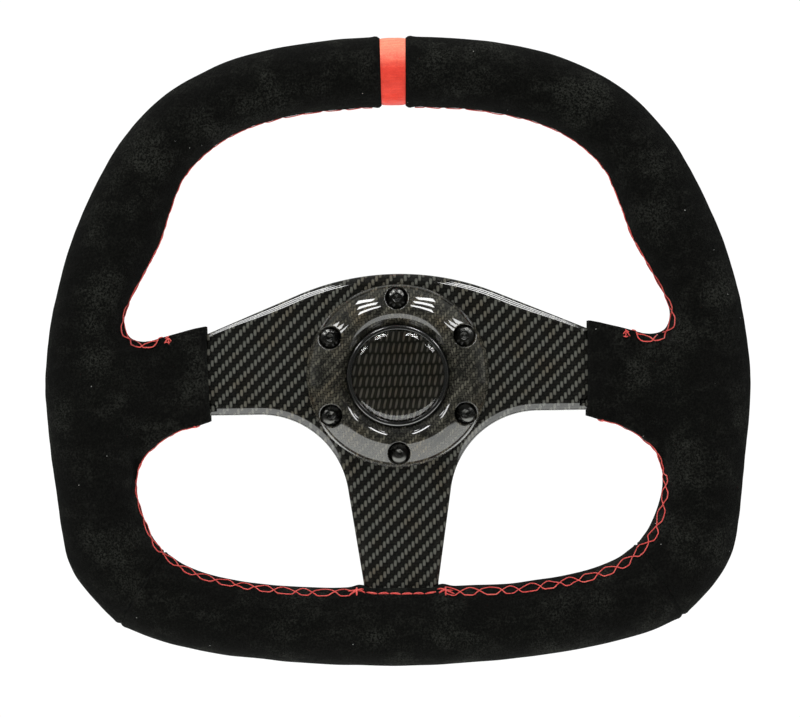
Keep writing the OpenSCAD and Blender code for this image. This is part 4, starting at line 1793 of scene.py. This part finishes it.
@dataclass
class HornButton:
    """The horn button: a gloss ring, a woven disc and the clear dome over it."""

    base: float = 55.0
    radius: float = 22.8
    window: float = 20.8
    lip: float = 59.2
    crown: float = 60.6

    def cap(self) -> Shell:
        """The cap: a cup with a rounded lip and a skirt under it.

        Returns:
            The shell.
        """
        outside, inside = 0.95, 0.35
        skirt_in, skirt_out, skirt_low, floor = 17.6, 20.3, 49.0, self.base + 2
        foot = [[skirt_in, skirt_low], [skirt_out, skirt_low], [skirt_out, self.base],
                [self.radius - 0.2, self.base], [self.radius, self.base + 0.2]]
        edge = arc(self.radius - outside, self.lip - outside, outside, 0, 90, 9)
        inner = arc(self.window + inside, self.lip - inside, inside, 90, 180, 5)
        cup = [[self.window, floor], [0.3, floor], [0.3, self.base], [skirt_in, self.base]]
        return lathe(np.concatenate([foot, edge, inner, cup]))

    def disc(self) -> Shell:
        """Return the woven disc, with a slightly rounded edge."""
        low, high, wide = self.base + 2.02, self.base + 2.58, self.window - 0.05
        return lathe(np.array([[0.02, low], [wide - 0.1, low], [wide, low + 0.1], [wide, high - 0.1],
                               [wide - 0.1, high], [0.02, high]]))

    def dome(self) -> Shell:
        """The clear dome.

        The drop from its crown is 0.5 mm times the square of the share of the radius,
        plus 1.9 mm times its eleventh power, so that it rolls over at the edge.

        Returns:
            The shell.
        """
        share = np.linspace(0.001, 1, 48)
        drop = 0.5 * share**2 + 1.9 * share**11
        wide = self.window - 0.06
        face = np.column_stack([wide * share, self.crown - drop])
        low = self.base + 2.55
        foot = np.array([[wide, low + 0.15], [wide - 0.15, low], [0.02, low]])
        return lathe(np.concatenate([face, foot]))

    def build(self) -> None:
        """Make the three pieces and fit them."""
        fit(make_piece("horn_ring", [self.cap()], GLOSS_BLACK, 40), "horn_button", "horn_cap")
        fit(make_piece("woven_disc", [self.disc()], CARBON_EMBLEM, 40), "horn_button", "emblem_disc")
        fit(make_piece("clear_dome", [self.dome()], CLEAR, 50), "horn_button", "lens")


@dataclass(frozen=True)
class Coil:
    """One coil spring round the axle, and the two bodies that its ends sit on."""

    name: str
    node: str
    radius: float
    wire: float
    low: float
    high: float
    turns: float
    low_body: str
    high_body: str

    def shell(self) -> Shell:
        """The wire as a tube.

        Returns:
            The shell: the angle grows evenly along the wire, and the height eases in and
            out, so that the end turns lie nearly flat.
        """
        share = np.linspace(0, 1, int(self.turns * 64))
        angle = share * self.turns * TURN
        rise = share + 0.35 / TURN * -np.sin(share * TURN)
        height = self.low + self.wire + (self.high - self.low - 2 * self.wire) * rise
        path, outward = polar(self.radius, angle, height), polar(1.0, angle, 0.0)
        return tube(path, outward, np.full(len(path), self.wire), sides=14)

    def build(self) -> None:
        """Make the spring, and hide the CAD node that it stands for."""
        piece = make_piece(self.name, [self.shell()], BRIGHT_STEEL)
        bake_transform(piece)
        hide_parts(self.node)


COILS = (
    Coil("sleeve_coil", "sleeve_spring", 29.55, 0.75, 31.25, 37.95, 3, "sleeve", "wheel"),
    Coil("plunger_coil", "plunger_spring", 2.7, 0.35, 41.15, 46.25, 4, "plunger", "wheel"),
    Coil("horn_coil", "horn_spring", 14.0, 0.6, 46.35, 54.95, 4, "wheel", "horn_button"),
)


def dress_frame() -> None:
    """Give every CAD node that still shows its finish, by the slot that the record names."""
    for row in frame["record"]["subparts"]:
        node = frame["nodes"][row["node"]]
        if node.hide_render:
            continue
        finish = FINISHES[row["material_slot"]].material()
        for place in node.material_slots:
            place.material = finish
        if not node.material_slots:
            node.data.materials.append(finish)
        log.info("%s: %s", row["node"], row["material_slot"])


# ---------------------------------------------------------------- studio


@dataclass
class Studio:
    """A pale floor, striped soft lights above on both sides, and the camera."""

    view_width: float = 0.3632
    wheel_plane: float = 0.0465
    distance: float = 1.15
    centre_x: float = 0.0011
    centre_z: float = 0.0077
    roll_deg: float = 0.9
    floor_drop: float = 0.27
    floor_shine: float = 1.4
    strip_distance: float = 1.3
    strip_length: float = 0.32
    strip_width: float = 0.10

    def camera(self) -> None:
        """Put the camera square in front of the wheel, with a slight roll."""
        data = bpy.data.cameras.new("camera")
        data.sensor_width = 36.0
        data.lens = data.sensor_width * self.distance / self.view_width
        data.clip_end = 30.0
        camera = bpy.data.objects.new("camera", data)
        face_on = Matrix.Rotation(math.pi / 2, 4, "X")
        roll = Matrix.Rotation(math.radians(self.roll_deg), 4, "Y")
        where = Matrix.Translation((self.centre_x, -self.wheel_plane - self.distance, self.centre_z))
        camera.matrix_world = where @ roll @ face_on
        bpy.context.scene.collection.objects.link(camera)
        bpy.context.scene.camera = camera

    def lamp(self, name: str, place: Vector, roll_deg: float, size: tuple[float, float], power: float,
             mirrored: bool) -> None:
        """Hang one rectangular soft light that points at the hub.

        Args:
            name: Its name.
            place: Where it hangs, in metres.
            roll_deg: Turn about its own axis.
            size: Its width and height.
            power: Its power in watts.
            mirrored: Whether it shows only in reflections; else it only lights.
        """
        data = bpy.data.lights.new(name, "AREA")
        data.shape, data.energy = "RECTANGLE", power
        data.size, data.size_y = size
        lamp = bpy.data.objects.new(name, data)
        aim = (-place).to_track_quat("-Z", "Y").to_matrix().to_4x4()
        lamp.matrix_world = Matrix.Translation(place) @ aim @ Matrix.Rotation(math.radians(roll_deg), 4, "Z")
        lamp.visible_camera = False
        lamp.visible_transmission = False
        lamp.visible_glossy, lamp.visible_diffuse = mirrored, not mirrored
        bpy.context.scene.collection.objects.link(lamp)

    def strips(self, name: str, bearing_deg: float, radiance: float) -> None:
        """Hang a bank of three strips, one behind the other.

        Args:
            name: Its name.
            bearing_deg: Direction from the hub, counted from +X towards +Z.
            radiance: Brightness of each strip.
        """
        bearing = math.radians(bearing_deg)
        for number, tilt_deg in enumerate((46, 57, 68)):
            tilt = math.radians(tilt_deg)
            place = self.strip_distance * Vector((math.sin(tilt) * math.cos(bearing), -math.cos(tilt),
                                                  math.sin(tilt) * math.sin(bearing)))
            size = (self.strip_length, self.strip_width)
            power = radiance * math.pi * size[0] * size[1]
            skew = (bearing_deg - 90) * 0.35
            self.lamp(f"{name}_{number}", place, skew, size, power, True)

    def lights(self) -> None:
        """Hang four banks of strips, a soft light above and a soft fill in front."""
        for name, bearing, radiance in (("left", 113, 20), ("far_left", 143, 13), ("right", 69, 20),
                                        ("far_right", 39, 13)):
            self.strips(name, bearing, radiance)
        self.lamp("above", Vector((0, -0.3, 1.6)), 0, (1.8, 1.2), 46.0, False)
        self.lamp("in_front", Vector((0, -2.2, 0.5)), 0, (1.6, 1.0), 12.0, False)
        self.lamp("behind", Vector((-1.5, 1.4, 1.3)), 0, (0.8, 0.8), 60.0, False)

    def ground(self) -> None:
        """Lay the floor: nearly white to the eye, and a glowing disc on black in reflections."""
        floor = bpy.data.meshes.new("floor")
        side, front, back, drop = 2.5, -1.6, 0.6, -self.floor_drop
        rim = [(-side, front, drop), (side, front, drop), (side, back, drop), (-side, back, drop)]
        floor.from_pydata(rim, [], [(0, 1, 2, 3)])
        material = bpy.data.materials.new("floor")
        material.use_nodes = True
        graph = Graph(material.node_tree)
        shader = material.node_tree.nodes["Principled BSDF"]
        shader.inputs["Roughness"].default_value = 0.9
        shader.inputs["Emission Color"].default_value = (0.97, 1.0, 0.93, 1)
        path = graph.add("LightPath", {})
        seen, mirrored = path.outputs["Is Camera Ray"], path.outputs["Is Glossy Ray"]
        away = graph.vector("LENGTH", graph.stretched(graph.place(), 1.0, 1.0, 0.0))
        near = graph.span(away, 0.50, 0.44)
        far = graph.math("MULTIPLY", mirrored, graph.math("SUBTRACT", 1.0, near))
        base = graph.mix(far, (0.93, 0.93, 0.93, 1), (0.04, 0.036, 0.03, 1))
        material.node_tree.links.new(base, shader.inputs["Base Color"])
        glow = graph.math("MULTIPLY", graph.math("MULTIPLY", mirrored, near), self.floor_shine)
        glow = graph.math("ADD", glow, graph.math("MULTIPLY", seen, 0.5))
        material.node_tree.links.new(glow, shader.inputs["Emission Strength"])
        floor.materials.append(material)
        ground = bpy.data.objects.new("floor", floor)
        bpy.context.scene.collection.objects.link(ground)

    def sky(self) -> None:
        """Set the surroundings: white to the eye, soft grey as light, and dark in front in reflections."""
        world = bpy.data.worlds.new("studio")
        world.use_nodes = True
        tree = world.node_tree
        tree.nodes.clear()
        graph = Graph(tree)
        path = graph.add("LightPath", {})
        toward = graph.add("SeparateXYZ", {0: graph.place()}).outputs[1]
        shine = graph.span(toward, -0.62, 0.3, 0.03, 0.75)
        grey = graph.add("Background", {0: (0.97, 0.99, 1.0, 1), 1: 0.55}).outputs[0]
        mirrored = graph.add("Background", {0: (0.97, 1.0, 0.97, 1), 1: shine}).outputs[0]
        white = graph.add("Background", {0: (1, 1, 1, 1), 1: 1.05}).outputs[0]
        both = grey
        for ray, light in (("Is Glossy Ray", mirrored), ("Is Camera Ray", white)):
            both = graph.add("MixShader", {0: path.outputs[ray], 1: both, 2: light}).outputs[0]
        output = tree.nodes.new("ShaderNodeOutputWorld")
        tree.links.new(both, output.inputs[0])
        bpy.context.scene.world = world
        bpy.context.scene.view_settings.view_transform = "Standard"

    def build(self) -> None:
        """Set up the whole studio."""
        self.camera()
        self.lights()
        self.ground()
        self.sky()


def corners(box: tuple) -> list[list[float]]:
    """Return a box as two plain lists of numbers."""
    return [[float(part) for part in corner] for corner in box]


def main() -> None:
    """Build every sub-assembly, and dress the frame."""
    logging.basicConfig(level=logging.INFO, format="%(message)s")
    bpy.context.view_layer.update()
    skin = RimSkin()
    parts = (Studio(), SuedeCovers(skin), Stitching(skin), SpokePlate(), TrimRing(), WheelBolts(),
             HornButton(), *COILS)
    for part in parts:
        part.build()
        log.info("built %s", type(part).__name__)
    dress_frame()


if __name__ == "__main__":
    main()
